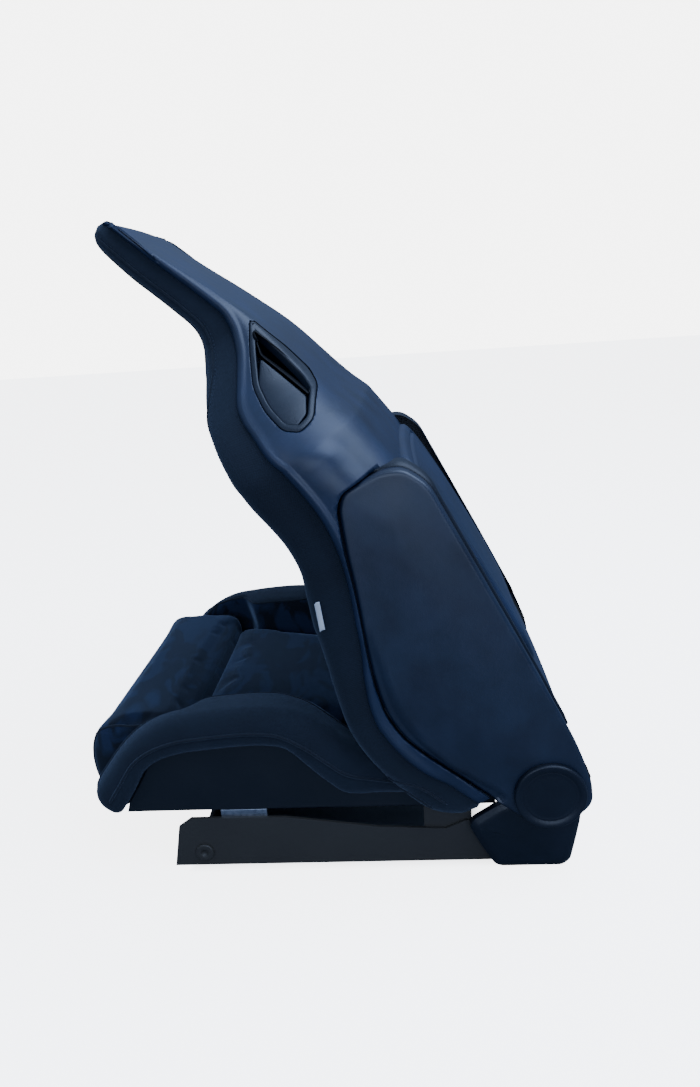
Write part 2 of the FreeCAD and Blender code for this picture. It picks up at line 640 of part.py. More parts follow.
top_line = [(-575, 98), (-568, 121), (-547, 150), (-522, 180), (-496, 199),
            (-466, bolster_top - 10), (-425, bolster_top - 4), (-354, bolster_top),
            (-315, bolster_top - 3), (-291, 209), (-270, 187)]
under_line = [(-263, 182), (-263, 121), (-294, 150), (-317, 171), (-341, 177), (-411, 174), (-446, 171),
              (-475, 162), (-498, 146), (-516, 116), (-534, 84), (-539, 76), (-552, 76), (-567, 90)]
tail_line = [(-262, 178), (-200, 142), (-149, 120), (-100, 110), (-70, 106)]
bolster_in = pan_out.value + gap
roll_out = pan_out.value + S.bolster_proud.value
outer_roll = outline_prism(seat_place(top_line + under_line), bolster_in, roll_out)
bridge_line = top_line[5:10] + [(-300, 178), (-466, 178)]
bridge = sharp_prism(seat_place(bridge_line), pan_in.value - gap - 1, bolster_in + 1)
front_line_in = top_line[:6] + [(roll_joint, bolster_top - 8), (roll_joint, base_z), (-534, base_z),
                                (-552, 76), (-567, 90)]
front_inner = sharp_prism(seat_place(front_line_in), roll_half + gap, pan_in.value - gap)
front_line_out = top_line[:5] + [(-500, 160), (-536, 84), (-552, 76), (-567, 90)]
front_outer = sharp_prism(seat_place(front_line_out), pan_in.value - gap - 1, bolster_in + 1)
pan_clear = sharp_prism(seat_place([(-533.5, 70), (-533.5, 92), (-516, 118), (-500, 146), (-476, 162),
                                    (-300, 178), (-60, 178), (-60, 70)]), pan_in.value - gap, bolster_in)
rear_line = [(roll_joint, bolster_top - 8)] + top_line[6:] + tail_line
rear_line += [(-70, base_z), (roll_joint, base_z)]
rear_inner = outline_prism(seat_place(rear_line), pad_half + gap, pan_in.value - gap)
bolster = outer_roll.fuse([bridge, front_inner, front_outer.cut(pan_clear), rear_inner])
pair("cushion_bolster", shaped("cushion_bolster", bolster.removeSplitter(), leaned=False))

# ---------------------------------------------------------------- check and write

doc.recompute()
for item in doc.Objects:
    if "Invalid" in item.State or "Error" in item.State:
        raise RuntimeError(f"{item.Label}: {item.State}")
for label, item in NODES.items():
    shape = item.Shape
    if shape.isNull() or not shape.isValid() or not shape.Solids:
        raise RuntimeError(f"{label} has no valid shape")
os.makedirs("parts", exist_ok=True)
for label, item in NODES.items():
    item.Shape.exportStep(f"parts/{label}.step")
    box = item.Shape.BoundBox
    print(f"{label:26s} solids {len(item.Shape.Solids)} volume {item.Shape.Volume / 1000:8.1f} cm3  "
          f"x {box.XMin:7.1f} {box.XMax:7.1f}  y {box.YMin:7.1f} {box.YMax:7.1f}  "
          f"z {box.ZMin:7.1f} {box.ZMax:7.1f}")
print(len(NODES), "nodes")
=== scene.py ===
# %% [markdown]
# # A folding racing seat
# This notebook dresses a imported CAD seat. The CAD model says where everything is and how it moves.
# Here each visible piece gets its real shape and finish: a grained shell, suede cushions, woven
# bolsters, coated steel. Every length is in metres, in the seat's own frame.

# %% Load the frame
import json
import math

import bmesh
import bpy
from mathutils import Matrix, Vector


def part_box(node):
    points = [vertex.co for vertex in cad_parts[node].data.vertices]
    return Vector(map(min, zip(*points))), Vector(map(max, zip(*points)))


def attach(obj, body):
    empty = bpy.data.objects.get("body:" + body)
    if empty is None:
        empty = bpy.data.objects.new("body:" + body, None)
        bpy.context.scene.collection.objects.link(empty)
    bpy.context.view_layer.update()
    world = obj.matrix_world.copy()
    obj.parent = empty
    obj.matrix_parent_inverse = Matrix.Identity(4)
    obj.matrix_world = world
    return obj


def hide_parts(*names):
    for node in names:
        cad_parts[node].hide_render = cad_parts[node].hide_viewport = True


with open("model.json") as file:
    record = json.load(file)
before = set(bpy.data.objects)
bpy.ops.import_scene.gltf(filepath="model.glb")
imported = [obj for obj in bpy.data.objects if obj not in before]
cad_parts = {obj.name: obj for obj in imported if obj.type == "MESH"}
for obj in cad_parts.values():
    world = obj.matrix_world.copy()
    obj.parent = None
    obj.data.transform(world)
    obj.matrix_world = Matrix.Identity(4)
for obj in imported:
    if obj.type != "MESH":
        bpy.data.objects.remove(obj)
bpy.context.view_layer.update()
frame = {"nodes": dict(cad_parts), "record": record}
MM = 0.001
nodes = frame["nodes"]
hinge = next(joint for joint in frame["record"]["behaviour"]["joints"] if joint["name"] == "recline")
PIVOT = Vector(hinge["pos_m"])
print("recliner line at", tuple(PIVOT))

# %% [markdown]
# ## The camera
# The seat is seen from its left side, a little from above, with a wide lens held slightly askew.
# A camera placed from an azimuth, an elevation and a roll stays readable.

# %% Camera
LENS, AZIMUTH, ELEVATION, ROLL = 26.5, 94.232, 16.027, -3.894
CAMERA_PLACE = (1.1116, 0.1029, 0.6805)


def look(azimuth, elevation, roll):
    """The turn of a camera that looks back at the seat from that direction."""
    a, e, r = (math.radians(angle) for angle in (azimuth, elevation, roll))
    back = Vector((math.sin(a) * math.cos(e), -math.cos(a) * math.cos(e), math.sin(e)))
    right = Vector((math.cos(a), math.sin(a), 0))
    up = back.cross(right)
    tilted_right = right * math.cos(r) + up * math.sin(r)
    tilted_up = up * math.cos(r) - right * math.sin(r)
    return Matrix((tilted_right, tilted_up, back)).transposed()


camera = bpy.data.objects.new("camera", bpy.data.cameras.new("camera"))
camera.data.lens = LENS
camera.matrix_world = Matrix.Translation(CAMERA_PLACE) @ look(AZIMUTH, ELEVATION, ROLL).to_4x4()
bpy.context.collection.objects.link(camera)
bpy.context.scene.camera = camera

# %% [markdown]
# ## Studio
# Satin black plastic shows nothing but what it reflects, so the light is large and cool, like an
# open sky: a world that brightens towards the zenith, a big soft panel overhead, a weak one beside
# the camera and a low one for the side panels. The camera itself sees a plain white backdrop.

# %% Floor and light
SEAT_MIDDLE = Vector((0, 0, 0.35))
HORIZON_STRENGTH, ZENITH_STRENGTH, BACKDROP_STRENGTH = 0.10, 1.1, 6.0


def linear(hex_colour, alpha=1.0):
    """An sRGB hex colour as the linear numbers that shaders want."""
    parts = [int(hex_colour[place:place + 2], 16) / 255 for place in (1, 3, 5)]
    curved = [part / 12.92 if part <= 0.04045 else ((part + 0.055) / 1.055) ** 2.4 for part in parts]
    return (*curved, alpha)


def add(tree, kind, sockets=None, **settings):
    """A node with its settings; a socket given as a value is linked."""
    made = tree.nodes.new(kind)
    for name, value in settings.items():
        setattr(made, name, value)
    for name, value in (sockets or {}).items():
        if isinstance(value, bpy.types.NodeSocket):
            tree.links.new(value, made.inputs[name])
        else:
            made.inputs[name].default_value = value
    return made


def light(name, size, energy, place, colour):
    """A soft rectangle of light, turned towards the middle of the seat."""
    lamp = bpy.data.lights.new(name, "AREA")
    lamp.shape = "RECTANGLE"
    lamp.size, lamp.size_y = size
    lamp.energy = energy
    lamp.color = linear(colour)[:3]
    lamp_object = bpy.data.objects.new(name, lamp)
    lamp_object.location = place
    lamp_object.visible_camera = False
    lamp_object.rotation_euler = (SEAT_MIDDLE - Vector(place)).to_track_quat("-Z", "Y").to_euler()
    bpy.context.collection.objects.link(lamp_object)


world = bpy.data.worlds.new("studio")
world.use_nodes = True
sky = world.node_tree
direction = add(sky, "ShaderNodeTexCoord").outputs["Generated"]
rise = add(sky, "ShaderNodeSeparateXYZ", {0: direction}).outputs["Z"]
overhead = add(sky, "ShaderNodeMapRange", {"Value": rise, "From Min": 0.0, "From Max": 0.9,
                                           "To Min": HORIZON_STRENGTH, "To Max": ZENITH_STRENGTH})
sky.nodes["Background"].inputs["Color"].default_value = linear("#b4cffb")
sky.links.new(overhead.outputs["Result"], sky.nodes["Background"].inputs["Strength"])
backdrop = add(sky, "ShaderNodeBackground", {"Color": linear("#ffffff"), "Strength": BACKDROP_STRENGTH})
seen = add(sky, "ShaderNodeLightPath").outputs["Is Camera Ray"]
both = add(sky, "ShaderNodeMixShader", {0: seen, 1: sky.nodes["Background"].outputs[0],
                                        2: backdrop.outputs[0]})
sky.links.new(both.outputs[0], sky.nodes["World Output"].inputs["Surface"])
bpy.context.scene.world = world
light("sky_panel", size=(2.4, 2.4), energy=90, place=(0.3, 1.3, 2.6), colour="#c2d8ff")
light("side_panel_light", size=(1.6, 1.2), energy=7, place=(2.2, -1.2, 1.6), colour="#cfe0ff")
light("horizon_panel", size=(2.4, 1.1), energy=27, place=(2.6, 0.35, 0.80), colour="#c6daff")
print("studio ready")

floor_mesh = bmesh.new()
bmesh.ops.create_grid(floor_mesh, x_segments=1, y_segments=1, size=12)
floor_data = bpy.data.meshes.new("floor")
floor_mesh.to_mesh(floor_data)
floor_mesh.free()
floor = bpy.data.objects.new("floor", floor_data)
bpy.context.collection.objects.link(floor)

# %% [markdown]
# ## Finishes
# Each finish starts from what the real one is. The patterns are sized in millimetres, because the
# Object coordinates are metres: a cell of g millimetres needs a scale of 1000 / g.

# %% Material helper


def finish(name, colour, roughness, **sockets):
    """A material with one Principled shader, and its tree and shader for more work."""
    material = bpy.data.materials.new(name)
    material.use_nodes = True
    tree = material.node_tree
    shader = tree.nodes["Principled BSDF"]
    shader.inputs["Base Color"].default_value = linear(colour)
    shader.inputs["Roughness"].default_value = roughness
    for socket, value in sockets.items():
        shader.inputs[socket.replace("_", " ")].default_value = value
    return material, tree, shader


def cell(size_mm):
    """The texture scale that makes a pattern of that size."""
    return 1000 / size_mm


def mixed(tree, factor, first, second):
    """A colour that goes from the first to the second with the factor."""
    mix = add(tree, "ShaderNodeMix", data_type="RGBA")
    tree.links.new(factor, mix.inputs["Factor"])
    mix.inputs[6].default_value = linear(first)
    mix.inputs[7].default_value = linear(second)
    return mix.outputs[2]


def spread(tree, value, low, high, new_low=0.0, new_high=1.0):
    """Moves a value from one range to another."""
    return add(tree, "ShaderNodeMapRange", {"Value": value, "From Min": low, "From Max": high,
                                            "To Min": new_low, "To Max": new_high}).outputs["Result"]


# %% [markdown]
# Moulded ABS with a fine leather-like grain: the tool is etched, so the gloss breaks up over cells
# of about a millimetre, and handled places are a little smoother than sheltered ones.

# %% Grained ABS
CLOUD_MM = 90


def grained_abs(name, dark, lit, grain_mm, roughness, gloss):
    """Moulded plastic with an etched grain, its colour and gloss drifting over broad clouds."""
    material, tree, shader = finish(name, dark, roughness, IOR=1.53, Specular_IOR_Level=gloss)
    place = add(tree, "ShaderNodeTexCoord").outputs["Object"]
    cells = add(tree, "ShaderNodeTexVoronoi", {"Vector": place, "Scale": cell(grain_mm)},
                feature="SMOOTH_F1")
    pores = add(tree, "ShaderNodeTexNoise", {"Vector": place, "Scale": cell(grain_mm * 0.5), "Detail": 3.0})
    height = add(tree, "ShaderNodeMath", {0: cells.outputs["Distance"], 1: pores.outputs[0]}, operation="ADD")
    bump = add(tree, "ShaderNodeBump", {"Height": height.outputs[0], "Strength": 0.22, "Distance": 0.00025})
    tree.links.new(bump.outputs["Normal"], shader.inputs["Normal"])
    cloud = add(tree, "ShaderNodeTexNoise", {"Vector": place, "Scale": cell(CLOUD_MM), "Detail": 4.0,
                                             "Roughness": 0.6})
    tree.links.new(spread(tree, cloud.outputs[0], 0.3, 0.7, roughness - 0.05, roughness + 0.06),
                   shader.inputs["Roughness"])
    tree.links.new(mixed(tree, spread(tree, cloud.outputs[0], 0.35, 0.68), dark, lit),
                   shader.inputs["Base Color"])
    return material


shell_abs = grained_abs("grained_abs_shell", "#101d31", "#172742", 1.1, 0.42, 0.5)
panel_abs = grained_abs("grained_abs_side_panel", "#0e1829", "#152338", 1.0, 0.40, 0.60)
trim_abs = grained_abs("fine_grained_abs_covers", "#10161f", "#141b27", 0.8, 0.38, 0.32)
bezel_abs = grained_abs("satin_abs_bezel", "#0e1520", "#131b27", 0.6, 0.34, 0.35)
duct_abs = grained_abs("matt_abs_duct", "#05070b", "#080b10", 0.6, 0.55, 0.2)

# %% [markdown]
# Suede microfibre: short fibres lean one way or the other where a hand has passed, so broad soft
# patches look lighter or darker. Their edges are fairly crisp, which two stretched noises give.

# %% Suede microfibre
NAP_PATCH_MM, FIBRE_MM = 95, 1.6


def suede(name, shade, nap_light):
    """Short-piled cloth with patches of nap that lean either way."""
    material, tree, shader = finish(name, shade, 0.95, Specular_IOR_Level=0.25)
    shader.inputs["Sheen Weight"].default_value = 0.55
    shader.inputs["Sheen Roughness"].default_value = 0.45
    shader.inputs["Sheen Tint"].default_value = linear("#96abc9")
    place = add(tree, "ShaderNodeTexCoord").outputs["Object"]
    stroke = add(tree, "ShaderNodeMapping", {"Vector": place, "Scale": (1.0, 1.9, 1.4)})
    patches = add(tree, "ShaderNodeTexNoise", {"Vector": stroke.outputs[0], "Scale": cell(NAP_PATCH_MM),
                                               "Detail": 2.5, "Roughness": 0.55, "Distortion": 1.1})
    fibres = add(tree, "ShaderNodeTexNoise", {"Vector": place, "Scale": cell(FIBRE_MM), "Detail": 4.0})
    nap = spread(tree, patches.outputs[0], 0.455, 0.545)
    flecked = add(tree, "ShaderNodeMath", {0: nap, 1: spread(tree, fibres.outputs[0], 0.3, 0.7, -0.18, 0.18)},
                  operation="ADD", use_clamp=True)
    tree.links.new(mixed(tree, flecked.outputs[0], shade, nap_light), shader.inputs["Base Color"])
    bump = add(tree, "ShaderNodeBump", {"Height": fibres.outputs[0], "Strength": 0.35, "Distance": 0.0006})
    tree.links.new(bump.outputs["Normal"], shader.inputs["Normal"])
    return material


suede_navy = suede("suede_microfibre_navy", "#040912", "#142036")

# %% [markdown]
# Woven jersey on the bolsters: a diagonal net of raised threads, about a millimetre and a half
# apart. `WAVE_UNIT` is how long one wave of the wave texture is when its scale is 1.

# %% Woven jersey
THREAD_TURN = math.radians(38)
WAVE_UNIT = math.tau / 20


def woven(name, valley, thread, spacing_mm):
    """Cloth with two crossing sets of threads, that far apart."""
    material, tree, shader = finish(name, valley, 0.9, Specular_IOR_Level=0.3)
    shader.inputs["Sheen Weight"].default_value = 0.35
    shader.inputs["Sheen Roughness"].default_value = 0.5
    shader.inputs["Sheen Tint"].default_value = linear("#8fa3bd")
    place = add(tree, "ShaderNodeUVMap", uv_map="cloth").outputs["UV"]
    heights = []
    for turn in (THREAD_TURN, -THREAD_TURN):
        turned = add(tree, "ShaderNodeMapping", {"Vector": place, "Rotation": (0, 0, turn)})
        wave = add(tree, "ShaderNodeTexWave", {"Vector": turned.outputs[0],
                                               "Scale": cell(spacing_mm) * WAVE_UNIT, "Distortion": 0.6,
                                               "Detail": 1.0, "Detail Scale": 3.0})
        heights.append(wave.outputs[1])
    net = add(tree, "ShaderNodeMath", {0: heights[0], 1: heights[1]}, operation="MAXIMUM")
    wear = add(tree, "ShaderNodeTexNoise", {"Vector": add(tree, "ShaderNodeTexCoord").outputs["Object"],
                                            "Scale": cell(60), "Detail": 5.0})
    worn = spread(tree, wear.outputs[0], 0.3, 0.7, -0.25, 0.25)
    tone = add(tree, "ShaderNodeMath", {0: net.outputs[0], 1: worn}, operation="ADD", use_clamp=True)
    tree.links.new(mixed(tree, tone.outputs[0], valley, thread), shader.inputs["Base Color"])
    bump = add(tree, "ShaderNodeBump", {"Height": net.outputs[0], "Strength": 0.5, "Distance": 0.0005})
    tree.links.new(bump.outputs["Normal"], shader.inputs["Normal"])
    return material


jersey = woven("woven_jersey_bolster", "#060b13", "#131c28", 1.6)
piping = woven("woven_jersey_seam", "#0a0e15", "#141b25", 1.4)
thread = woven("polyester_thread_navy", "#1a2330", "#2a3648", 1.0)
label_cloth = woven("woven_label_white", "#b9bec4", "#d6dade", 1.0)

# %% [markdown]
# Steel comes three ways: powder coated, where the powder melts into a fine orange peel; zinc plated,
# bright with cloudy spangles; and phosphated, the dull grey of hinge plates under their covers.

# %% Steel


def coated_steel(name, colour, roughness, peel_mm, gloss=0.2):
    material, tree, shader = finish(name, colour, roughness, Specular_IOR_Level=gloss)
    place = add(tree, "ShaderNodeTexCoord").outputs["Object"]
    peel = add(tree, "ShaderNodeTexNoise", {"Vector": place, "Scale": cell(peel_mm), "Detail": 2.0})
    dust = add(tree, "ShaderNodeTexNoise", {"Vector": place, "Scale": cell(70), "Detail": 5.0})
    bump = add(tree, "ShaderNodeBump", {"Height": peel.outputs[0], "Strength": 0.25, "Distance": 0.0003})
    tree.links.new(bump.outputs["Normal"], shader.inputs["Normal"])
    tree.links.new(spread(tree, dust.outputs[0], 0.3, 0.7, roughness - 0.08, roughness + 0.08),
                   shader.inputs["Roughness"])
    return material


def bare_steel(name, colour, cloud_colour, roughness, grain_mm):
    """Plated or phosphated steel, faintly brushed and clouded."""
    material, tree, shader = finish(name, colour, roughness, Metallic=1.0)
    place = add(tree, "ShaderNodeTexCoord").outputs["Object"]
    brushed = add(tree, "ShaderNodeMapping", {"Vector": place, "Scale": (1, 0.12, 1)})
    grain = add(tree, "ShaderNodeTexNoise", {"Vector": brushed.outputs[0], "Scale": cell(grain_mm),
                                             "Detail": 3.0})
    cloud = add(tree, "ShaderNodeTexVoronoi", {"Vector": place, "Scale": cell(7)})
    tree.links.new(mixed(tree, spread(tree, cloud.outputs[0], 0.1, 0.8), colour, cloud_colour),
                   shader.inputs["Base Color"])
    tree.links.new(spread(tree, grain.outputs[0], 0.3, 0.7, roughness - 0.07, roughness + 0.1),
                   shader.inputs["Roughness"])
    return material


powder_black = coated_steel("powder_coated_steel_black", "#34322e", 0.50, 1.6, 0.4)
pan_black = coated_steel("coated_steel_pan", "#171c22", 0.38, 1.2, 0.34)
zinc = bare_steel("zinc_plated_steel", "#b9bec6", "#9aa1ab", 0.32, 0.9)
phosphated = bare_steel("phosphated_steel", "#56595d", "#45484c", 0.48, 0.7)

# %% [markdown]
# The floor is matt and pale. The camera sees it glow like the backdrop, so the two run into each
# other, but under the seat a painted shadow is laid in: there the glow is cut and the colour is a
# dark grey, standing for the shade below the low pan. Every other ray sees the whole floor in that grey.

# %% Floor paint with a painted shadow under the seat
PAINTED_SHADOW_HALF_WIDTH, PAINTED_SHADOW_HALF_DEPTH, FLOOR_GLOW = 0.25, 0.20, 4.5


def floor_node(kind, first, second=0.0):
    return add(floor_tree, "ShaderNodeMath", {0: first, 1: second}, operation=kind).outputs[0]


floor_paint, floor_tree, floor_shader = finish("matt_pale_floor", "#f6f7f9", 0.9)
floor_place = add(floor_tree, "ShaderNodeTexCoord").outputs["Object"]
spot = add(floor_tree, "ShaderNodeSeparateXYZ", {0: floor_place})
sideways = floor_node("DIVIDE", floor_node("ABSOLUTE", spot.outputs["X"]), PAINTED_SHADOW_HALF_WIDTH)
lengthways = floor_node("DIVIDE", floor_node("ABSOLUTE", spot.outputs["Y"]), PAINTED_SHADOW_HALF_DEPTH)
# painted shadow: 0 over the seat's footprint, where the glow is cut and the floor is painted dark
outside_painted_shadow = spread(floor_tree, floor_node("MAXIMUM", sideways, lengthways), 0.80, 1.0)
floor_seen = add(floor_tree, "ShaderNodeLightPath").outputs["Is Camera Ray"]
paper_outside_painted_shadow = floor_node("MULTIPLY", outside_painted_shadow, floor_seen)
floor_shader.inputs["Emission Color"].default_value = linear("#ffffff")
floor_tree.links.new(spread(floor_tree, paper_outside_painted_shadow, 0, 1, 0, FLOOR_GLOW), floor_shader.inputs["Emission Strength"])
# 5c646e is the painted shadow under the seat, and the grey that every non-camera ray sees
floor_tree.links.new(mixed(floor_tree, paper_outside_painted_shadow, "#5c646e", "#f6f7f9"), floor_shader.inputs["Base Color"])
floor.data.materials.append(floor_paint)

# %% [markdown]
# ## The backrest's own axes
# The back is drawn upright: across, rearwards and up from the recliner line. One function leans it
# into place. Its outline is kept in levels, 1 at the shoulder, 2 at the neck and 3 at the crown.

# %% Backrest axes
LEAN = math.radians(30)
SHOULDER, NECK_RISE, HEAD = 500, 160, 195


def leaned(across, rearward, up):
    """A point of the backrest, from its own millimetres to the seat's metres."""
    y = rearward * math.cos(LEAN) - up * math.sin(LEAN)
    z = rearward * math.sin(LEAN) + up * math.cos(LEAN)
    return Vector((across, y, z)) * MM + PIVOT


def seated(across, rearward, up):
    """A point of the cushion: across, rearwards of the recliner line, and above the floor."""
    return Vector((across * MM, rearward * MM + PIVOT.y, up * MM))


def lift(level):
    """The height up the back of a level."""
    spans = (SHOULDER, NECK_RISE, HEAD)
    whole = min(max(int(level), 0), 2)
    return sum(spans[:whole]) + spans[whole] * (level - whole)


def level_of(up):
    """The level of a height up the back."""
    if up < SHOULDER:
        return up / SHOULDER
    if up < SHOULDER + NECK_RISE:
        return 1 + (up - SHOULDER) / NECK_RISE
    return 2 + (up - SHOULDER - NECK_RISE) / HEAD


def eased(stops, at):
    """A smooth curve through (place, value) stops, read at one place."""
    if at <= stops[0][0]:
        return stops[0][1]
    if at >= stops[-1][0]:
        return stops[-1][1]
    index = max(i for i, stop in enumerate(stops) if stop[0] <= at)
    index = min(index, len(stops) - 2)
    (x0, y0), (x1, y1) = stops[index], stops[index + 1]

    def slope(i):
        low, high = stops[max(i - 1, 0)], stops[min(i + 1, len(stops) - 1)]
        return (high[1] - low[1]) / (high[0] - low[0])
    t = (at - x0) / (x1 - x0)
    m0, m1 = slope(index) * (x1 - x0), slope(index + 1) * (x1 - x0)
    return ((2 * t**3 - 3 * t**2 + 1) * y0 + (t**3 - 2 * t**2 + t) * m0
            + (3 * t**2 - 2 * t**3) * y1 + (t**3 - t**2) * m1)


def blend(low, high, at):
    """0 below low, 1 above high and a soft step between."""
    t = min(max((at - low) / (high - low), 0), 1)
    return t * t * (3 - 2 * t)


def along(points, share):
    """The point a share of the way along a smooth open line through points."""
    lengths = [0.0]
    for before, after in zip(points, points[1:]):
        lengths.append(lengths[-1] + math.dist(before, after))
    at = share * lengths[-1]
    return [eased([(length, point[axis]) for length, point in zip(lengths, points)], at)
            for axis in range(len(points[0]))]

# %% [markdown]
# ## Two builders
# Most pieces are a grid bent over a shape: `create_grid` gives the faces, and a function says where
# the point at (across, along) goes. Points that meet are merged, which closes tubes and poles.
# The grid's own directions, measured along the surface, become a UV map for the weave.

# %% Surface builder


def bent_grid(columns, rows, point, keep_share=False):
    """A grid whose vertices go where point(a, t) says, with a and t from 0 to 1."""
    bm = bmesh.new()
    bmesh.ops.create_grid(bm, x_segments=columns, y_segments=rows, size=0.5)
    places = {}
    for vert in bm.verts:
        a = round((vert.co.x + 0.5) * columns)
        t = round((vert.co.y + 0.5) * rows)
        places[vert] = (a, t)
        vert.co = point(a / columns, t / rows)
    where = {place: vert.co.copy() for vert, place in places.items()}
    middle_row, middle_column = rows // 2, columns // 2
    run_a, run_t = [0.0], [0.0]
    for a in range(columns):
        run_a.append(run_a[-1] + (where[(a + 1, middle_row)] - where[(a, middle_row)]).length)
    for t in range(rows):
        run_t.append(run_t[-1] + (where[(middle_column, t + 1)] - where[(middle_column, t)]).length)
    cloth = bm.loops.layers.uv.new("cloth")
    share = bm.loops.layers.float.new("share") if keep_share else None
    for face in bm.faces:
        for loop in face.loops:
            a, t = places[loop.vert]
            loop[cloth].uv = (run_a[a], run_t[t])
            if keep_share:
                loop[share] = a / columns
    bmesh.ops.remove_doubles(bm, verts=bm.verts[:], dist=0.00002)
    bmesh.ops.recalc_face_normals(bm, faces=bm.faces[:])
    return bm


def piece(name, bm, material, body, replaced=(), finish_slot=None, smooth=True):
    """Makes a mesh object from a bmesh, gives it its finish, and lets it ride on a CAD body."""
    data = bpy.data.meshes.new(name)
    bm.to_mesh(data)
    bm.free()
    data.materials.append(material)
    for face in data.polygons:
        face.use_smooth = smooth
    made = bpy.data.objects.new(name, data)
    bpy.context.collection.objects.link(made)
    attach(made, body)
    if replaced:
        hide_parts(*replaced)
    return made


def mirrored(bm):
    """The same shape on the other side of the seat, its faces turned out again."""
    twin = bm.copy()
    bmesh.ops.scale(twin, vec=(-1, 1, 1), verts=twin.verts[:])
    bmesh.ops.reverse_faces(twin, faces=twin.faces[:])
    return twin


def pair(stem, left, material, body, replaced="", finish_slot=None, smooth=True):
    """A piece and its mirror image; the names of both, and of what they replace, end in their side."""
    return [piece(f"{stem}_{side}", bm, material, body, [f"{replaced}_{side}"] if replaced else (),
                  finish_slot, smooth)
            for side, bm in (("left", left), ("right", mirrored(left)))]


def modifier(made, kind, name, **settings):
    """Adds a modifier with its settings."""
    added = made.modifiers.new(name, kind)
    for key, value in settings.items():
        setattr(added, key, value)
    return added


def smooth_shaded(made):
    """Shades every face of a piece smoothly."""
    for face in made.data.polygons:
        face.use_smooth = True


def apply_all(made):
    """Turns a piece and its modifiers into one plain mesh."""
    ready = made.evaluated_get(bpy.context.evaluated_depsgraph_get())
    data = bpy.data.meshes.new_from_object(ready)
    old = made.data
    made.modifiers.clear()
    made.data = data
    bpy.data.meshes.remove(old)


# %% [markdown]
# ## The shell
# The shell is one moulding: two sides, two round corners and a back, all narrowing from the hips to
# a slim head. A slice through it is a path, so the whole shell is that path, repeated up the back.
# Its front edge rolls inwards, which gives the bright line where the fabric starts.

# %% Shell slices
WIDTHS = [(-0.1, 257), (0.30, 258), (0.60, 260), (0.86, 264), (1.0, 265), (1.12, 259), (1.25, 247),
          (1.38, 232), (1.55, 210), (1.69, 192), (1.85, 172), (2.0, 157), (2.31, 140), (2.67, 127),
          (2.9, 117), (3.02, 104)]
BACKS = [(-0.1, 51), (0.1, 53), (0.30, 58), (0.60, 61), (0.86, 58), (0.94, 54), (1.05, 47), (1.24, 37),
         (1.61, 23), (1.96, 6), (2.17, -11), (2.39, -30), (2.59, -49), (2.76, -64), (2.91, -75), (3.0, -82)]
CORNERS = [(-0.1, 36), (0.30, 40), (0.60, 50), (0.86, 68), (1.0, 82), (1.38, 86), (1.69, 76), (2.0, 60),
           (2.31, 48), (2.67, 38), (2.95, 28), (3.02, 20)]
SHELL_EDGE = [(0.06, -84), (0.10, -92), (0.14, -100), (0.19, -114), (0.25, -124), (0.30, -128), (0.36, -129),
              (0.42, -122), (0.49, -107), (0.55, -91), (0.62, -76), (0.70, -59), (0.78, -46), (0.86, -40),
              (0.94, -42), (1.03, -49), (1.12, -53), (1.28, -56), (1.40, -59), (1.52, -57), (1.66, -45),
              (1.80, -33), (1.92, -27), (2.02, -24), (2.12, -25), (2.28, -36), (2.60, -61), (2.80, -75),
              (2.92, -84), (3.0, -93)]
CLOTH_EDGE = [(0.035, -112), (0.05, -124), (0.10, -142), (0.15, -152), (0.235, -162), (0.33, -166),
              (0.405, -162), (0.50, -148), (0.585, -134), (0.66, -123), (0.72, -111), (0.78, -99),
              (0.845, -95), (0.90, -97), (0.97, -102), (1.10, -105), (1.35, -105), (1.50, -102), (1.65, -94),
              (1.80, -82), (1.92, -72), (2.05, -63), (2.15, -63), (2.28, -71), (2.45, -83), (2.60, -94),
              (2.77, -104), (2.88, -109), (2.95, -108), (3.0, -98)]
WALL, ROLL_RADIUS = 3.5, 7.0


def shell_slice(level):
    """Half width, back surface, corner radius and front edge at one height."""
    half, back, corner, front = (eased(stops, level) for stops in (WIDTHS, BACKS, CORNERS, SHELL_EDGE))
    return half, back, min(corner, max(back - front - ROLL_RADIUS - 1, 4)), front


def shell_path(level, share):
    """(across, rearward) on the outside of the shell; share 0 is the left front edge, 1 the right."""
    half, back, corner, front = shell_slice(level)
    side = max(back - corner - front - ROLL_RADIUS, 1.0)
    flat = half - corner
    mirror = 1 if share <= 0.5 else -1
    run = (share if share <= 0.5 else 1 - share) * 2
    stops = (0.05, 0.40, 0.80)
    if run < stops[0]:
        angle = run / stops[0] * math.pi / 2
        across = half - ROLL_RADIUS * (1 - math.sin(angle))
        return mirror * across, front + ROLL_RADIUS * (1 - math.cos(angle))
    if run < stops[1]:
        t = (run - stops[0]) / (stops[1] - stops[0])
        return mirror * half, front + ROLL_RADIUS + side * t
    if run < stops[2]:
        angle = (run - stops[1]) / (stops[2] - stops[1]) * math.pi / 2
        return (mirror * (half - corner * (1 - math.cos(angle))), back - corner * (1 - math.sin(angle)))
    t = (run - stops[2]) / (1 - stops[2])
    return mirror * flat * (1 - t), back + 3 * (1 - (1 - t) ** 2)


# %% [markdown]
# The hip of the shell swells out into a pod that carries the side panel. Its top is a soft ridge
# that starts behind the shoulder and runs down the back corner. Distance below the ridge decides
# how far the surface stands out, so the ridge is sharp at the back and melts away at the front.

# %% Shoulder ridge and front bead
RIDGE = [(-60, 492), (-20, 500), (11, 492), (32, 478), (52, 458), (66, 436), (76, 402)]
BEAD_WIDTH, BEAD_HEIGHT, POD_HEIGHT, BROW_HEIGHT = 15.0, 2.6, 7.0, 4.5
POD_TOP_BEHIND = 400
SHELL_FOOT, SHELL_TOP = 0.06, 2.955
CROWN_START, CROWN_TUCK = 2.88, 9.0


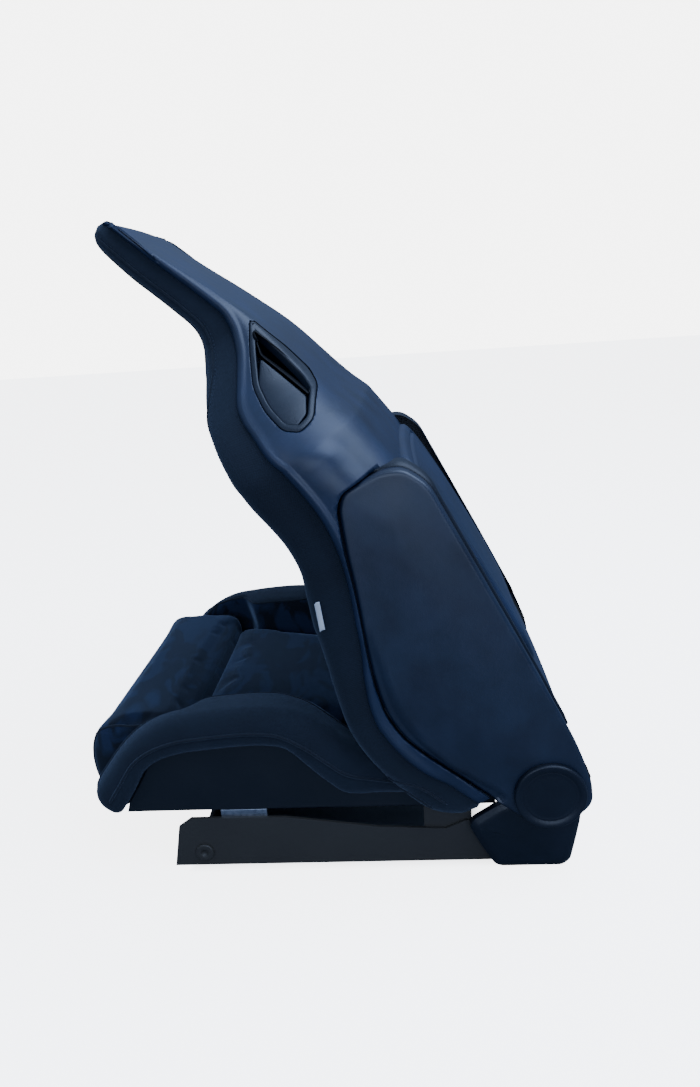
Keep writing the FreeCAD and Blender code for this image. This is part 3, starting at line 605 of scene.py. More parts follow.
def pod_rise(rearward, up):
    """How far the pod stands out at a place on the side."""
    depth_below = (POD_TOP_BEHIND if rearward > RIDGE[-1][0] else eased(RIDGE, rearward)) - up
    sharpness = blend(-40, 40, rearward)
    climb = blend(-13, 16 - 14 * sharpness, depth_below)
    brow = BROW_HEIGHT * climb * blend(24, 2, depth_below) * blend(-45, 20, rearward)
    return POD_HEIGHT * climb * blend(-75, 5, rearward) + brow


def shell_point(share, level):
    """A point of the outside of the shell, with its bead, its pod and its rounded crown."""
    across, rearward = shell_path(level, share)
    up = lift(level)
    half, back, corner, front = shell_slice(level)
    side = 1 if across >= 0 else -1
    near_front = rearward - front
    bead = BEAD_HEIGHT * blend(BEAD_WIDTH, BEAD_WIDTH - 7, near_front) * blend(0.12, 0.3, level)
    on_side = min(1.0, max(0.0, (abs(across) - (half - corner)) / corner))
    hip = pod_rise(rearward, up) * blend(0.75, 1.0, on_side) * blend(0.2, 0.5, level)
    out = Vector((side, 0, 0))
    if rearward > back - corner:
        centre = side * (half - corner)
        beyond = across - centre if abs(across) > abs(centre) else 0
        out = Vector((beyond, rearward - (back - corner), 0)).normalized()
    crown = max(level - CROWN_START, 0) / (SHELL_TOP - CROWN_START)
    tuck = CROWN_TUCK * (1 - math.sqrt(max(1 - crown * crown, 0)))
    moved = out * (bead * on_side * (1 - crown) + hip - tuck)
    return leaned(across + moved.x, rearward + moved.y, up)


# %% [markdown]
# A panel or cutter is an outline filled in rings towards a spine, like the rings of a tree. Rings
# close to the edge give it a clean rounding, and a height function gives it crown and creases.

# %% Outline helpers
SPINE_ROWS = 12


def round_outline(corners, count, reach=0.42):
    """Evenly spaced points on a closed outline whose corners are rounded as far as they can be."""
    fine = []
    total = len(corners)
    for index, corner in enumerate(corners):
        corner = Vector(corner)
        before = Vector(corners[index - 1]) - corner
        after = Vector(corners[(index + 1) % total]) - corner
        cut = reach * min(before.length, after.length)
        start, end = corner + before.normalized() * cut, corner + after.normalized() * cut
        for step in range(9):
            t = step / 8
            fine.append(start * (1 - t) ** 2 + corner * 2 * t * (1 - t) + end * t * t)
    lengths = [0.0]
    for index in range(len(fine)):
        lengths.append(lengths[-1] + (fine[(index + 1) % len(fine)] - fine[index]).length)
    even, place = [], 0
    for step in range(count):
        goal = lengths[-1] * step / count
        while lengths[place + 1] < goal:
            place += 1
        t = (goal - lengths[place]) / max(lengths[place + 1] - lengths[place], 1e-9)
        even.append(fine[place].lerp(fine[(place + 1) % len(fine)], t))
    return even


def inward(outline, distance):
    """The outline moved in by a distance, point by point along its normals."""
    area = sum(a.x * b.y - b.x * a.y for a, b in zip(outline, outline[1:] + outline[:1]))
    side = 1 if area > 0 else -1
    moved = []
    for index, point in enumerate(outline):
        run = outline[(index + 1) % len(outline)] - outline[index - 1]
        normal = Vector((-run.y, run.x)).normalized() * side
        moved.append(point + normal * distance)
    return moved


def edge_distance(outline, point):
    """How far a point is from an outline."""
    best = 1e9
    for index, start in enumerate(outline):
        run = outline[(index + 1) % len(outline)] - start
        t = min(max((point - start).dot(run) / run.length_squared, 0), 1)
        best = min(best, (start + run * t - point).length)
    return best


def ringed(outline, spine, rings, place, skirt=()):
    """A plate filled in rings: place(point, distance from the edge) puts each point in space.

    skirt lists the distances past the edge, for the wall that turns down behind it.
    """
    count = len(outline)
    start, end = Vector(spine[0]), Vector(spine[1])
    run = end - start
    feet = []
    for point in outline:
        t = min(max((point - start).dot(run) / run.length_squared, 0), 1)
        feet.append(start + run * t)
    levels = [-distance for distance in reversed(skirt)] + list(rings) + [None] * SPINE_ROWS
    insets = {distance: inward(outline, distance) for distance in rings}
    inner = insets[rings[-1]]

    def at(a, t):
        index = round(a * count) % count
        row = round(t * (len(levels) - 1))
        level = levels[row]
        if level is not None and level < 0:
            return place(outline[index], level)
        if level is None:
            part = (row - (len(levels) - SPINE_ROWS - 1)) / SPINE_ROWS
            point = inner[index].lerp(feet[index], part)
        else:
            point = insets[level][index]
        return place(point, edge_distance(outline, point))
    return bent_grid(count, len(levels) - 1, at)


def rounding(distance, radius):
    """How far a rounded edge has dropped, this near to it."""
    if distance >= radius:
        return 0.0
    return radius - math.sqrt(max(radius * radius - (radius - distance) ** 2, 0.0))


def extruded(outline, low, high, to_space, edge=0.0, segments=3):
    """A plate of even thickness from an outline, its outer edge bevelled."""
    bm = bmesh.new()
    face = bm.faces.new([bm.verts.new(to_space(low, point.x, point.y)) for point in outline])
    grown = bmesh.ops.extrude_face_region(bm, geom=[face])
    top = [item for item in grown["geom"] if isinstance(item, bmesh.types.BMVert)]
    bmesh.ops.translate(bm, vec=to_space(high, 0, 0) - to_space(low, 0, 0), verts=top)
    if edge:
        rim = [item for item in grown["geom"] if isinstance(item, bmesh.types.BMEdge)]
        bmesh.ops.bevel(bm, geom=rim, offset=edge * MM, segments=segments, profile=0.5, affect="EDGES",
                        material=-1, clamp_overlap=True)
    bmesh.ops.recalc_face_normals(bm, faces=bm.faces[:])
    return bm


# %% Outlines on the back
PANEL = [(-18, 430), (-4, 443), (42, 441), (66, 430), (80, 400), (77, 340), (69, 180), (60, 40), (51, -12),
         (37, -42), (10, -49), (-40, -26), (-62, 24), (-82, 78), (-98, 116), (-110, 152), (-111, 190),
         (-100, 232), (-85, 270), (-69, 306), (-54, 342), (-38, 386)]
BEZEL = [(0, 655), (4, 653), (18, 612), (28, 572), (29.5, 553), (12, 526), (-6, 522), (-22, 534), (-30, 562),
         (-30, 590), (-14, 628)]
panel_line = round_outline(PANEL, 220)
bezel_line = round_outline(BEZEL, 140, 0.33)


def surface_across(rearward, up):
    """How far out the shell's side or corner is at a place seen from the side."""
    half, back, corner, _ = shell_slice(level_of(up))
    start = back - corner
    if rearward <= start:
        return half
    return half - corner + math.sqrt(max(corner * corner - (rearward - start) ** 2, 1.0))


# %% [markdown]
# The shell is cut where the side panels and the harness bezels sit. A boolean keeps those openings
# crisp whatever the grid does; each cutter is the piece's own outline, a shut-line wider.

# %% Build the shell
SHELL_COLUMNS, SHELL_ROWS = 200, 170


def shell_grid(a, t):
    return shell_point(a, SHELL_FOOT + (SHELL_TOP - SHELL_FOOT) * t)


shell_mesh = bent_grid(SHELL_COLUMNS, SHELL_ROWS, shell_grid)
shell = piece("backrest_shell_moulding", shell_mesh, shell_abs, "backrest", ["backrest_shell"], "shell_plastic")
modifier(shell, "SOLIDIFY", "wall", thickness=WALL * MM, offset=-1)


def loose_object(name, bm):
    """A helper object from a bmesh, for a boolean; it is removed again once it has cut."""
    data = bpy.data.meshes.new(name)
    bm.to_mesh(data)
    bm.free()
    made = bpy.data.objects.new(name, data)
    bpy.context.collection.objects.link(made)
    return made


def cutter(outline, low, high, name):
    """A straight cutter through both sides of the seat."""
    bm = extruded(outline, low, high, leaned)
    both = bmesh.new()
    for half in (bm, mirrored(bm)):
        data = bpy.data.meshes.new("half")
        half.to_mesh(data)
        both.from_mesh(data)
        bpy.data.meshes.remove(data)
        half.free()
    return loose_object(name, both)


cutters = [cutter(inward(panel_line, -1.6), 236, 300, "panel_cutter"),
           cutter(inward(bezel_line, -0.8), 135, 300, "bezel_cutter")]
for made in cutters:
    modifier(shell, "BOOLEAN", made.name, operation="DIFFERENCE", object=made, solver="EXACT")
bpy.context.view_layer.update()
apply_all(shell)
for made in cutters:
    bpy.data.objects.remove(made)
smooth_shaded(shell)
modifier(shell, "WEIGHTED_NORMAL", "clean_shading", keep_sharp=True)
print("shell faces", len(shell.data.polygons))

# %% [markdown]
# ## Side panels
# Each panel is a crowned moulding over the recliner bracket. Its edge is rounded, and a crease near
# the front drops a narrow facet inwards. The crease starts high up as nothing and deepens downwards.

# %% Side panels
CREASE = [(-66, 292), (-78, 254), (-90, 212), (-95, 172), (-92, 136), (-80, 96), (-66, 66), (-44, 22)]
PANEL_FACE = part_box("side_panel_left")[1].x / MM
PANEL_EDGE_RADIUS = 5.0
REAR_RETURN = 4.6


def in_front_of_crease(point):
    """How far a place lies in front of the crease, and 0 behind it."""
    line = sorted((up, rearward) for rearward, up in CREASE)
    if not line[0][0] < point.y < line[-1][0]:
        return 0.0
    return max(eased(line, point.y) - point.x, 0.0)


def panel_place(point, distance):
    if distance < 0:
        deep = 1 + (REAR_RETURN - 1) * blend(34, 60, point.x) * blend(110, 170, point.y)
        return leaned(PANEL_FACE - 1 - PANEL_EDGE_RADIUS + distance * deep, point.x, point.y)
    crown = 2.6 * blend(0, 70, distance) * blend(-60, 60, point.y)
    tail = -2.0 * blend(60, -40, point.y)
    upper = 1.5 * blend(200, 440, point.y)
    facet = in_front_of_crease(point)
    drop = 4.0 * blend(0, 4, facet) * blend(300, 215, point.y) + 0.12 * facet
    across = PANEL_FACE - 1 + crown + tail + upper - drop - rounding(distance, PANEL_EDGE_RADIUS)
    return leaned(across, point.x, point.y)


spine = ((-8, 330), (14, 30))
panel_mesh = ringed(panel_line, spine, (0, 0.4, 1.0, 1.8, 2.8, 4.0, 5.5, 8, 11, 15), panel_place,
                    skirt=(2.0, 5.0))
print("side panel faces", len(panel_mesh.faces))
pair("side_panel_moulding", panel_mesh, panel_abs, "backrest", "side_panel", "panel_plastic")

# %% [markdown]
# Behind each panel the shell has a shallow tray, so the shut-line shows a dark wall and not a hole.

# %% Panel trays
TRAY_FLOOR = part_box("upper_bracket_left")[0].x / MM - 1.0
TRAY_LOWEST = 60
tray_line = inward(panel_line, -1.8)


def tray_place(point, distance):
    across = TRAY_FLOOR
    if distance < 0:
        across = min(TRAY_FLOOR - distance, surface_across(point.x, point.y) - 1.2)
    return leaned(across, point.x, max(point.y, TRAY_LOWEST))


tray_mesh = ringed(tray_line, ((-8, 330), (-8, 100)), (0, 3), tray_place, skirt=(9, 26))
pair("panel_tray", tray_mesh, trim_abs, "backrest", finish_slot="shell_plastic")

# %% [markdown]
# ## Padding on the back
# The strip between shell and fabric edge is one long roll: it starts at the hip, runs up over the
# shoulder and round the head. Its slice is a closed path, flat outside and round in front.

# %% Back bolster slices
WING_LOW, WING_HIGH = 0.035, 3.0
SLICE_LOW = 0.07
INNER_REACH = [(0.03, 30), (0.2, 26), (0.30, 60), (0.45, 100), (0.8, 118), (1.1, 112), (1.4, 92), (1.7, 74),
               (2.0, 62), (2.4, 54), (3.0, 48)]
PAD_FRONT = [(0.0, -6), (0.2, -14), (0.45, -26), (0.7, -16), (0.95, -6), (1.2, -16), (1.45, -32), (1.7, -44),
             (1.9, -50), (2.05, -52), (2.2, -60), (2.5, -82), (2.8, -100), (3.0, -107)]


def wing_slice(level):
    """Control points (across, rearward) round the left roll at one height."""
    half, back, _, edge = shell_slice(max(level, SLICE_LOW))
    front = eased(CLOTH_EDGE, level)
    reach = eased(INNER_REACH, level)
    out = half - 3.0
    deep = max(edge - front, 14)
    low = blend(0.30, 0.16, level)
    root = min(eased(PAD_FRONT, level) + 14, back - 16)
    root = root * (1 - low) + (edge + 8) * low
    middle = (front + root) / 2
    return [(out - 6, edge + 16), (out - 1.5, edge + 6), (out + 0.5, edge - deep * 0.25),
            (out + 1.0, edge - deep * 0.55), (out - 3.5, edge - deep * 0.84), (out - 14, front + 0.5),
            (out - 25 + 7 * low, front + deep * 0.10), (out - reach * 0.45 + 4 * low, middle - deep * 0.10),
            (out - reach * 0.75, root - deep * 0.12), (out - reach, root), (out - reach, root + 10),
            (out - reach * 0.5, edge + 20 if low > 0.5 else root + 18)]


def closed_path(points, share):
    """The point a share of the way round a smooth closed line through points."""
    return along(points + [points[0]], share)


def under_shell(across, rearward, level):
    """Keeps a point of the padding in front of the shell's inner face."""
    half, back, corner, front = shell_slice(max(level, SLICE_LOW))
    round_start = max(half - corner, 1)
    inner = back
    if across > round_start:
        inner = back - corner + math.sqrt(max(corner ** 2 - min(across - round_start, corner) ** 2, 0))
    return min(rearward, max(inner - WALL - 2.0, front + 2))


def wing_point(a, t):
    """A point of the left roll of the back, its two ends drawn together."""
    end = min(t, 1 - t)
    level = WING_LOW + (WING_HIGH - WING_LOW) * t
    points = wing_slice(level)
    centre = [sum(point[axis] for point in points) / len(points) for axis in (0, 1)]
    taper = math.sqrt(1 - (1 - min(end / 0.022, 1)) ** 2)
    across, rearward = closed_path(points, a)
    across = centre[0] + (across - centre[0]) * taper
    rearward = centre[1] + (rearward - centre[1]) * taper
    if rearward > shell_slice(max(level, SLICE_LOW))[3] - 2:
        rearward = under_shell(across, rearward, level)
    return leaned(across, rearward, lift(level))


wing_mesh = bent_grid(72, 210, wing_point)
print("back bolster faces", len(wing_mesh.faces))
for made in pair("back_bolster", wing_mesh, jersey, "backrest", "wing", "woven_fabric"):
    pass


# %% Head and centre pads of the back
NECK_SEAM = 1.66


def centre_pad(low, high, thick, puff):
    """A crowned pad between the two rolls, its edges tucked in behind them."""
    def place(a, t):
        level = low + (high - low) * t
        half = eased(WIDTHS, level) - eased(INNER_REACH, level) + 5
        side = 2 * a - 1
        crown = puff * (1 - abs(side) ** 3.0) * (1 - abs(2 * t - 1) ** 6)
        tuck = thick * (abs(side) ** 8) + thick * (abs(2 * t - 1) ** 14)
        front = eased(PAD_FRONT, level)
        return leaned(half * side, front - crown + tuck, lift(level))
    return bent_grid(60, 80, place)


centre = piece("back_centre_pad", centre_pad(0.07, NECK_SEAM, 9, 9), suede_navy, "backrest",
               ["back_pad"], "suede")
head = piece("head_pad_centre", centre_pad(NECK_SEAM, 2.97, 8, 5), suede_navy, "backrest",
             ["head_pad"], "suede")
for made, foam_mm in ((centre, 16), (head, 7)):
    modifier(made, "SOLIDIFY", "foam", thickness=foam_mm * MM, offset=-1)

# %% [markdown]
# ## Harness openings
# A belt enters behind the shoulder, turns and comes out through the padding. So each side has a
# frame that lies on the curved shell, a flap plate in its lower half, and a duct that bends forward.
# The pieces are laid on the shell by its own surface and normal, so they follow its curve.

# %% Places on the shell's surface
BACK_MARGIN = 1.2


def on_shell(rearward, up, height):
    """A point that far above the shell's side, seen from the side at (rearward, up)."""
    rearward = min(rearward, eased(BACKS, level_of(up)) - BACK_MARGIN)
    here = surface_across(rearward, up)
    slope_back = surface_across(rearward + 0.5, up) - surface_across(rearward - 0.5, up)
    slope_up = (surface_across(rearward, up + 2) - surface_across(rearward, up - 2)) / 4
    normal = Vector((1, -slope_back, -slope_up)).normalized()
    return leaned(*(Vector((here, rearward, up)) + normal * height))


# %% Bezel frames
BEZEL_BAND = 6.5
FRAME_PROFILE = [(-0.2, -9), (-0.2, -0.6), (0.1, 0.3), (0.8, 0.9), (2.0, 1.1), (BEZEL_BAND - 1.6, 1.1),
                 (BEZEL_BAND - 0.7, 0.8), (BEZEL_BAND, 0.0), (BEZEL_BAND + 0.3, -1.2), (BEZEL_BAND + 0.3, -9)]
frame_rings = {inset: inward(bezel_line, inset) for inset, _ in FRAME_PROFILE}


def frame_place(a, t):
    inset, height = FRAME_PROFILE[round(t * (len(FRAME_PROFILE) - 1))]
    point = frame_rings[inset][round(a * len(bezel_line)) % len(bezel_line)]
    return on_shell(point.x, point.y, height)


bezel_mesh = bent_grid(len(bezel_line), len(FRAME_PROFILE) - 1, frame_place)
pair("belt_bezel_frame", bezel_mesh, bezel_abs, "backrest", "belt_bezel", "bezel_plastic")
print("bezel frames laid on the shell")

# %% Flap plates
FLAP = [(-8, 614), (16, 550), (8, 534.5), (-6, 529.5), (-17, 538), (-23.5, 563), (-23.5, 590)]
flap_line = round_outline(FLAP, 160, 0.16)


def flap_place(point, distance):
    if distance < 0:
        return on_shell(point.x, point.y, -3.4 + distance)
    return on_shell(point.x, point.y, -0.6 - rounding(distance, 1.6))


flap_mesh = ringed(flap_line, ((-6, 585), (-3, 560)), (0, 0.2, 0.5, 1.0, 1.7, 3.0, 5.0), flap_place,
                   skirt=(2.0, 7.0))
pair("belt_flap_plate", flap_mesh, bezel_abs, "backrest", "belt_flap", "bezel_plastic")

# %% Ducts
SLOT = [(-6, 616), (-0.6, 643), (1.4, 642), (13, 611), (23.8, 572), (24, 558), (18.5, 550.5)]
slot_line = round_outline(SLOT, 80, 0.12)
TURN_RADIUS, TURN_START, SLOT_CENTRE_UP = 30.0, 168.0, 600
slot_middle = sum(point.x for point in slot_line) / len(slot_line)


def duct_rows(last):
    """Steps (angle of the turn, run before it, run after it) from the shell to the padding."""
    straight = [(0.0, run, 0.0) for run in (0.0, 0.15, 0.4, 0.7)]
    turn = [(math.pi / 2 * step / 8, 1.0, 0.0) for step in range(9)]
    out = [(math.pi / 2, 1.0, share) for share in (0.3, 0.6, 1.0)]
    return straight + turn + [(angle, run, share * last) for angle, run, share in out]


def duct_place(point, row, grow):
    """Where a point of the slot is after a step through the duct, widened by grow."""
    angle, run, after = row
    side = point.x - slot_middle
    rearward = min(point.x, eased(BACKS, level_of(point.y)) - BACK_MARGIN)
    start = surface_across(rearward, point.y) + grow * 4 - 1.0
    tall = point.y + grow * (1 if point.y > SLOT_CENTRE_UP else -1)
    side += grow * (1 if side > 0 else -1)
    across = start + (TURN_START - start) * run
    forward = slot_middle - TURN_RADIUS * (1 - math.cos(angle))
    across -= TURN_RADIUS * math.sin(angle) + side * math.sin(angle)
    return leaned(across, forward + side * math.cos(angle) - after, tall)


def duct(grow, last):
    """A duct widened by grow that runs on for last millimetres after its turn."""
    rows, count = duct_rows(last), len(slot_line)

    def at(a, t):
        return duct_place(slot_line[round(a * count) % count], rows[round(t * (len(rows) - 1))], grow)
    return bent_grid(count, len(rows) - 1, at)


duct_mesh = duct(0.0, 26.0)
for made in pair("belt_duct_lining", duct_mesh, duct_abs, "backrest", "belt_duct", "bezel_plastic"):
    modifier(made, "SOLIDIFY", "wall", thickness=0.0015, offset=-1)
print("ducts turn forward with a radius of", TURN_RADIUS, "mm")

# %% [markdown]
# The padding is cut where the ducts come out. The cutter is the duct itself, a little larger, with
# its ends filled, so the hole and the duct always agree.

# %% Cut the padding for the belts
tunnel = duct(2.2, 160.0)
bmesh.ops.holes_fill(tunnel, edges=[edge for edge in tunnel.edges if edge.is_boundary], sides=0)
bmesh.ops.recalc_face_normals(tunnel, faces=tunnel.faces[:])
tunnels = [loose_object("tunnel", bm) for bm in (tunnel, mirrored(tunnel))]
for name, cutters in (("back_bolster_left", tunnels[:1]), ("back_bolster_right", tunnels[1:]),
                      ("back_centre_pad", tunnels), ("head_pad_centre", tunnels)):
    padded = bpy.data.objects[name]
    for made in cutters:
        modifier(padded, "BOOLEAN", made.name, operation="DIFFERENCE", object=made, solver="EXACT")
    bpy.context.view_layer.update()
    apply_all(padded)
for made in tunnels:
    bpy.data.objects.remove(made)
print("padding cut for the belts")

# %% [markdown]
# ## The panel on the back
# A map pocket panel stands proud of the shell's back. It is an outline in across and up, crowned,
# with a groove a little in from its edge, and its lower corners are well rounded.

# %% Back panel
POCKET = [(-166, 404), (-150, 424), (0, 430), (150, 424), (166, 404), (168, 290), (164, 138), (150, 104),
          (90, 93), (0, 91), (-90, 93), (-150, 104), (-164, 138), (-168, 290)]
POCKET_PROUD = [(88, 2), (106, 8), (138, 12), (178, 13.5), (248, 14), (318, 14), (388, 13), (418, 10),
                (434, 6)]
pocket_line = round_outline(POCKET, 260, 0.45)


def pocket_place(point, distance):
    base = eased(BACKS, level_of(point.y))
    if distance < 0:
        return leaned(point.x, base - 1 + distance * 0.4, point.y)
    groove = 2.4 * blend(3.6, 0.8, abs(distance - 19))
    crown = 2.2 * blend(20, 90, distance)
    rise = eased(POCKET_PROUD, point.y) - rounding(distance, 7.0)
    return leaned(point.x, base + max(rise - groove + crown, -1), point.y)


pocket_mesh = ringed(pocket_line, ((0, 380), (0, 180)),
                     (0, 0.6, 1.4, 2.6, 4.2, 6.5, 10, 14, 15.6, 17, 18, 19, 20, 21, 22.4, 26),
                     pocket_place, skirt=(6.0,))
piece("map_pocket_panel", pocket_mesh, shell_abs, "backrest", ["back_panel"], "shell_plastic")
print("map pocket panel stands", POCKET_PROUD[4][1], "mm proud")

# %% [markdown]
# ## Turned pieces
# Caps, knobs and screws are turned: half a profile, spun about the recliner line. The profile is a
# list of (radius, across), and `bmesh.ops.spin` makes the round.

# %% Spinner


def turned(profile, centre, steps=96):
    """A closed round piece about a line along X through centre; profile runs (radius, across)."""
    bm = bmesh.new()
    line = [bm.verts.new(centre + Vector((across, radius, 0)) * MM) for radius, across in profile]
    edges = [bm.edges.new(pair) for pair in zip(line, line[1:])]
    bmesh.ops.spin(bm, geom=line + edges, cent=centre, axis=(1, 0, 0), angle=math.tau, steps=steps,
                   use_merge=True)
    bmesh.ops.remove_doubles(bm, verts=bm.verts[:], dist=0.00001)
    bmesh.ops.recalc_face_normals(bm, faces=bm.faces[:])
    return bm


def arc(centre_radius, centre_across, radius, start, end, steps=5):
    """Profile points on an arc; angles in degrees, 0 towards larger radius, 90 outwards."""
    return [(centre_radius + radius * math.cos(math.radians(start + (end - start) * step / steps)),
             centre_across + radius * math.sin(math.radians(start + (end - start) * step / steps)))
            for step in range(steps + 1)]


HINGE = Vector((0, PIVOT.y, PIVOT.z))
cap_low, cap_high = (corner.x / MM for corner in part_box("hinge_cap_left"))
cap_radius = (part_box("hinge_cap_left")[1].y - PIVOT.y) / MM

# %% Hinge cap
CAP_ROUND, CAP_DISH = 2.4, 2.4
cap_profile = [(0.0, cap_high - CAP_DISH), (14, cap_high - 2.35), (27, cap_high - 2.2)]
cap_profile += arc(31.5, cap_high - 4.6, CAP_ROUND, 120, 60, 3)
cap_profile += [(34.0, cap_high - 2.0), (35.5, cap_high - 0.7)]
cap_profile += arc(cap_radius - CAP_ROUND, cap_high - CAP_ROUND, CAP_ROUND, 90, 0)
cap_profile += [(cap_radius, cap_low + 3.4), (cap_radius - 1.2, cap_low + 3.0),
                (cap_radius - 1.4, cap_low + 0.4), (0.0, cap_low + 0.4)]
piece("hinge_cap_disc", turned(cap_profile, HINGE), trim_abs, "backrest", ["hinge_cap_left"], "trim_plastic")
print("hinge cap radius", round(cap_radius, 1), "mm")

# %% Recline handwheel
wheel_low, wheel_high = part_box("handwheel")[0].x / MM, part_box("handwheel")[1].x / MM
wheel_radius = (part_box("handwheel")[1].y - PIVOT.y) / MM
SCALLOPS, SCALLOP_DEPTH = 16, 1.6
wheel_profile = [(0.0, wheel_low + 3.0), (16, wheel_low + 2.8), (20, wheel_low + 0.6), (24, wheel_low)]
wheel_profile += arc(wheel_radius - 4, wheel_low + 4, 4, -90, 0)
wheel_profile += [(wheel_radius, wheel_low + 8), (wheel_radius, wheel_low + 12), (wheel_radius, wheel_low + 16)]
wheel_profile += arc(wheel_radius - 2, wheel_high - 2, 2, 0, 90)
wheel_profile += [(0.0, wheel_high)]
wheel_mesh = turned(wheel_profile, HINGE, SCALLOPS * 8)
for vert in wheel_mesh.verts:
    spoke = vert.co - HINGE
    spoke.x = 0
    grip = blend(24, 36, spoke.length / MM)
    angle = math.atan2(spoke.z, spoke.y)
    if spoke.length > 0:
        vert.co -= spoke.normalized() * SCALLOP_DEPTH * MM * grip * (0.5 - 0.5 * math.cos(angle * SCALLOPS))
piece("recline_handwheel", wheel_mesh, trim_abs, "handwheel", ["handwheel"], "trim_plastic")
print("handwheel with", SCALLOPS, "finger scallops")

# %% Frame screws
screw_low, screw_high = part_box("frame_screw_left")
screw_middle = (screw_low + screw_high) / 2
screw_face, screw_radius = screw_high.x / MM, (screw_high.z - screw_low.z) / 2 / MM
head_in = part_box("side_member_left")[1].x / MM
socket_profile = [(0.0, screw_face - 2.0), (4.2, screw_face - 2.0), (4.4, screw_face - 0.3), (5.0, screw_face)]
socket_profile += arc(screw_radius - 1.6, screw_face - 1.6, 1.6, 90, 0)
socket_profile += [(screw_radius, head_in), (0.0, head_in)]
screw_mesh = turned(socket_profile, Vector((0, screw_middle.y, screw_middle.z)), 48)
pair("frame_screw_head", screw_mesh, powder_black, "base", "frame_screw", "coated_steel")

# %% [markdown]
# ## Recliner covers
# Each cover is a five-sided moulded shell. A wide chamfer runs round its face, and both its edges
# are softened, which is what catches the light on the upper front edges.

# %% Recliner covers
COVER = [(-56, 92), (-92, 68), (-96, 59), (-92, 50), (-80, 27), (-66, 4), (-58, 0.5), (18, 0.5), (28, 9),
         (35, 43), (40, 70), (38, 96), (-30, 99)]
cover_line = round_outline(COVER, 180, 0.40)
COVER_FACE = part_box("recliner_cover_left")[1].x / MM
CHAMFER = 7.0


def cover_place(point, distance):
    if distance < 0:
        return seated(COVER_FACE - 5.5 + distance, point.x, point.y)
    slope = 4.4 * (1 - min(distance / CHAMFER, 1)) + 0.5 * blend(2.5, 0, abs(distance - CHAMFER))
    crown = 0.6 * blend(CHAMFER, 30, distance)
    return seated(COVER_FACE - 0.6 - slope + crown - rounding(distance, 1.2) * 0.8, point.x, point.y)


cover_mesh = ringed(cover_line, ((-40, 45), (5, 45)),
                    (0, 0.3, 0.8, 1.4, 3, 5, 6.2, CHAMFER, 7.8, 9), cover_place, skirt=(3.0, 8.5))
pair("recliner_cover_moulding", cover_mesh, trim_abs, "base", "recliner_cover", "trim_plastic")
print("recliner covers", len(cover_line), "points round")

# %% [markdown]
# ## Steel pieces
# The CAD has the true plates, tubes and brackets. Real sheet has a broken edge that glints, so each
# steel piece is a copy of its CAD mesh with the loose triangles merged and its sharp edges bevelled.

# %% Broken edges
BODY_OF = {node: body for body, names in frame["record"]["behaviour"]["bodies"].items() for node in names}
SLOT_OF = {part["node"]: part["material_slot"] for part in frame["record"]["subparts"]}


def broken_edges(node, material, width_mm):
    """A copy of a CAD piece with bevelled edges, standing for it."""
    bm = bmesh.new()
    bm.from_mesh(nodes[node].data)
    bmesh.ops.remove_doubles(bm, verts=bm.verts[:], dist=0.00002)
    bmesh.ops.dissolve_limit(bm, angle_limit=math.radians(0.5), verts=bm.verts[:], edges=bm.edges[:])
    sharp = [edge for edge in bm.edges if edge.is_manifold and edge.calc_face_angle(0) > math.radians(40)]
    bmesh.ops.bevel(bm, geom=sharp, offset=width_mm * MM, segments=2, profile=0.5, affect="EDGES",
                    material=-1, clamp_overlap=True)
    bmesh.ops.triangulate(bm, faces=[face for face in bm.faces if len(face.verts) > 4])
    made = piece(f"{node}_softened", bm, material, BODY_OF[node], [node], SLOT_OF[node])
    modifier(made, "WEIGHTED_NORMAL", "clean_shading", keep_sharp=False)
    return made


STEEL = {"side_member": (powder_black, 0.7), "pan_bracket_front": (zinc, 0.5),
         "pan_bracket_rear": (powder_black, 0.5), "lower_plate": (powder_black, 0.5),
         "upper_bracket": (powder_black, 0.5),
         "recliner_plate": (phosphated, 0.5), "pivot_pin": (phosphated, 0.5), "latch_pawl": (phosphated, 0.4),
         "release_lever": (powder_black, 0.5)}
for name, (material, width) in STEEL.items():
    for side in ("left", "right"):
        broken_edges(f"{name}_{side}", material, width)
SINGLE = {"cushion_pan": (pan_black, 0.8), "cross_tube_front": (powder_black, 0.5),
          "cross_tube_rear": (powder_black, 0.5), "cross_brace": (powder_black, 0.5),
          "release_rod": (zinc, 0.5), "sync_shaft": (zinc, 0.4), "panel_screws": (phosphated, 0.3)}
for name, (material, width) in SINGLE.items():
    broken_edges(name, material, width)
print("steel pieces with broken edges:", 2 * len(STEEL) + len(SINGLE))

# %% [markdown]
# ## Cushion bolsters
# The bolster is a long roll over the pan's side: it climbs from a tongue in front, runs level and
# falls behind. Its slice stands across that line, so each slice mixes an upper line with a lower one.

# %% Cushion bolster slices
BOLSTER_TOP = [(-572, 100), (-568, 121), (-549, 149), (-523, 180), (-497, 199), (-466, 212), (-425, 218),
               (-390, 221), (-354, 222), (-315, 219), (-291, 211), (-266, 192), (-236, 166), (-200, 148),
               (-150, 130), (-105, 116)]
BOLSTER_UNDER = [(-541, 78), (-536, 88), (-517, 116), (-500, 145), (-478, 161), (-447, 170), (-411, 174),
                 (-376, 177), (-341, 177), (-317, 171), (-295, 150), (-268, 122), (-246, 104), (-205, 100),
                 (-150, 98), (-105, 96)]
ROLL_JOINT = -453.0
CUSHION_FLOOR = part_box("seat_pad")[0].z / MM
PAD_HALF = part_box("seat_pad")[1].x / MM
ROLL_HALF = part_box("thigh_roll")[1].x / MM
PAN_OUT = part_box("cushion_pan")[1].x / MM


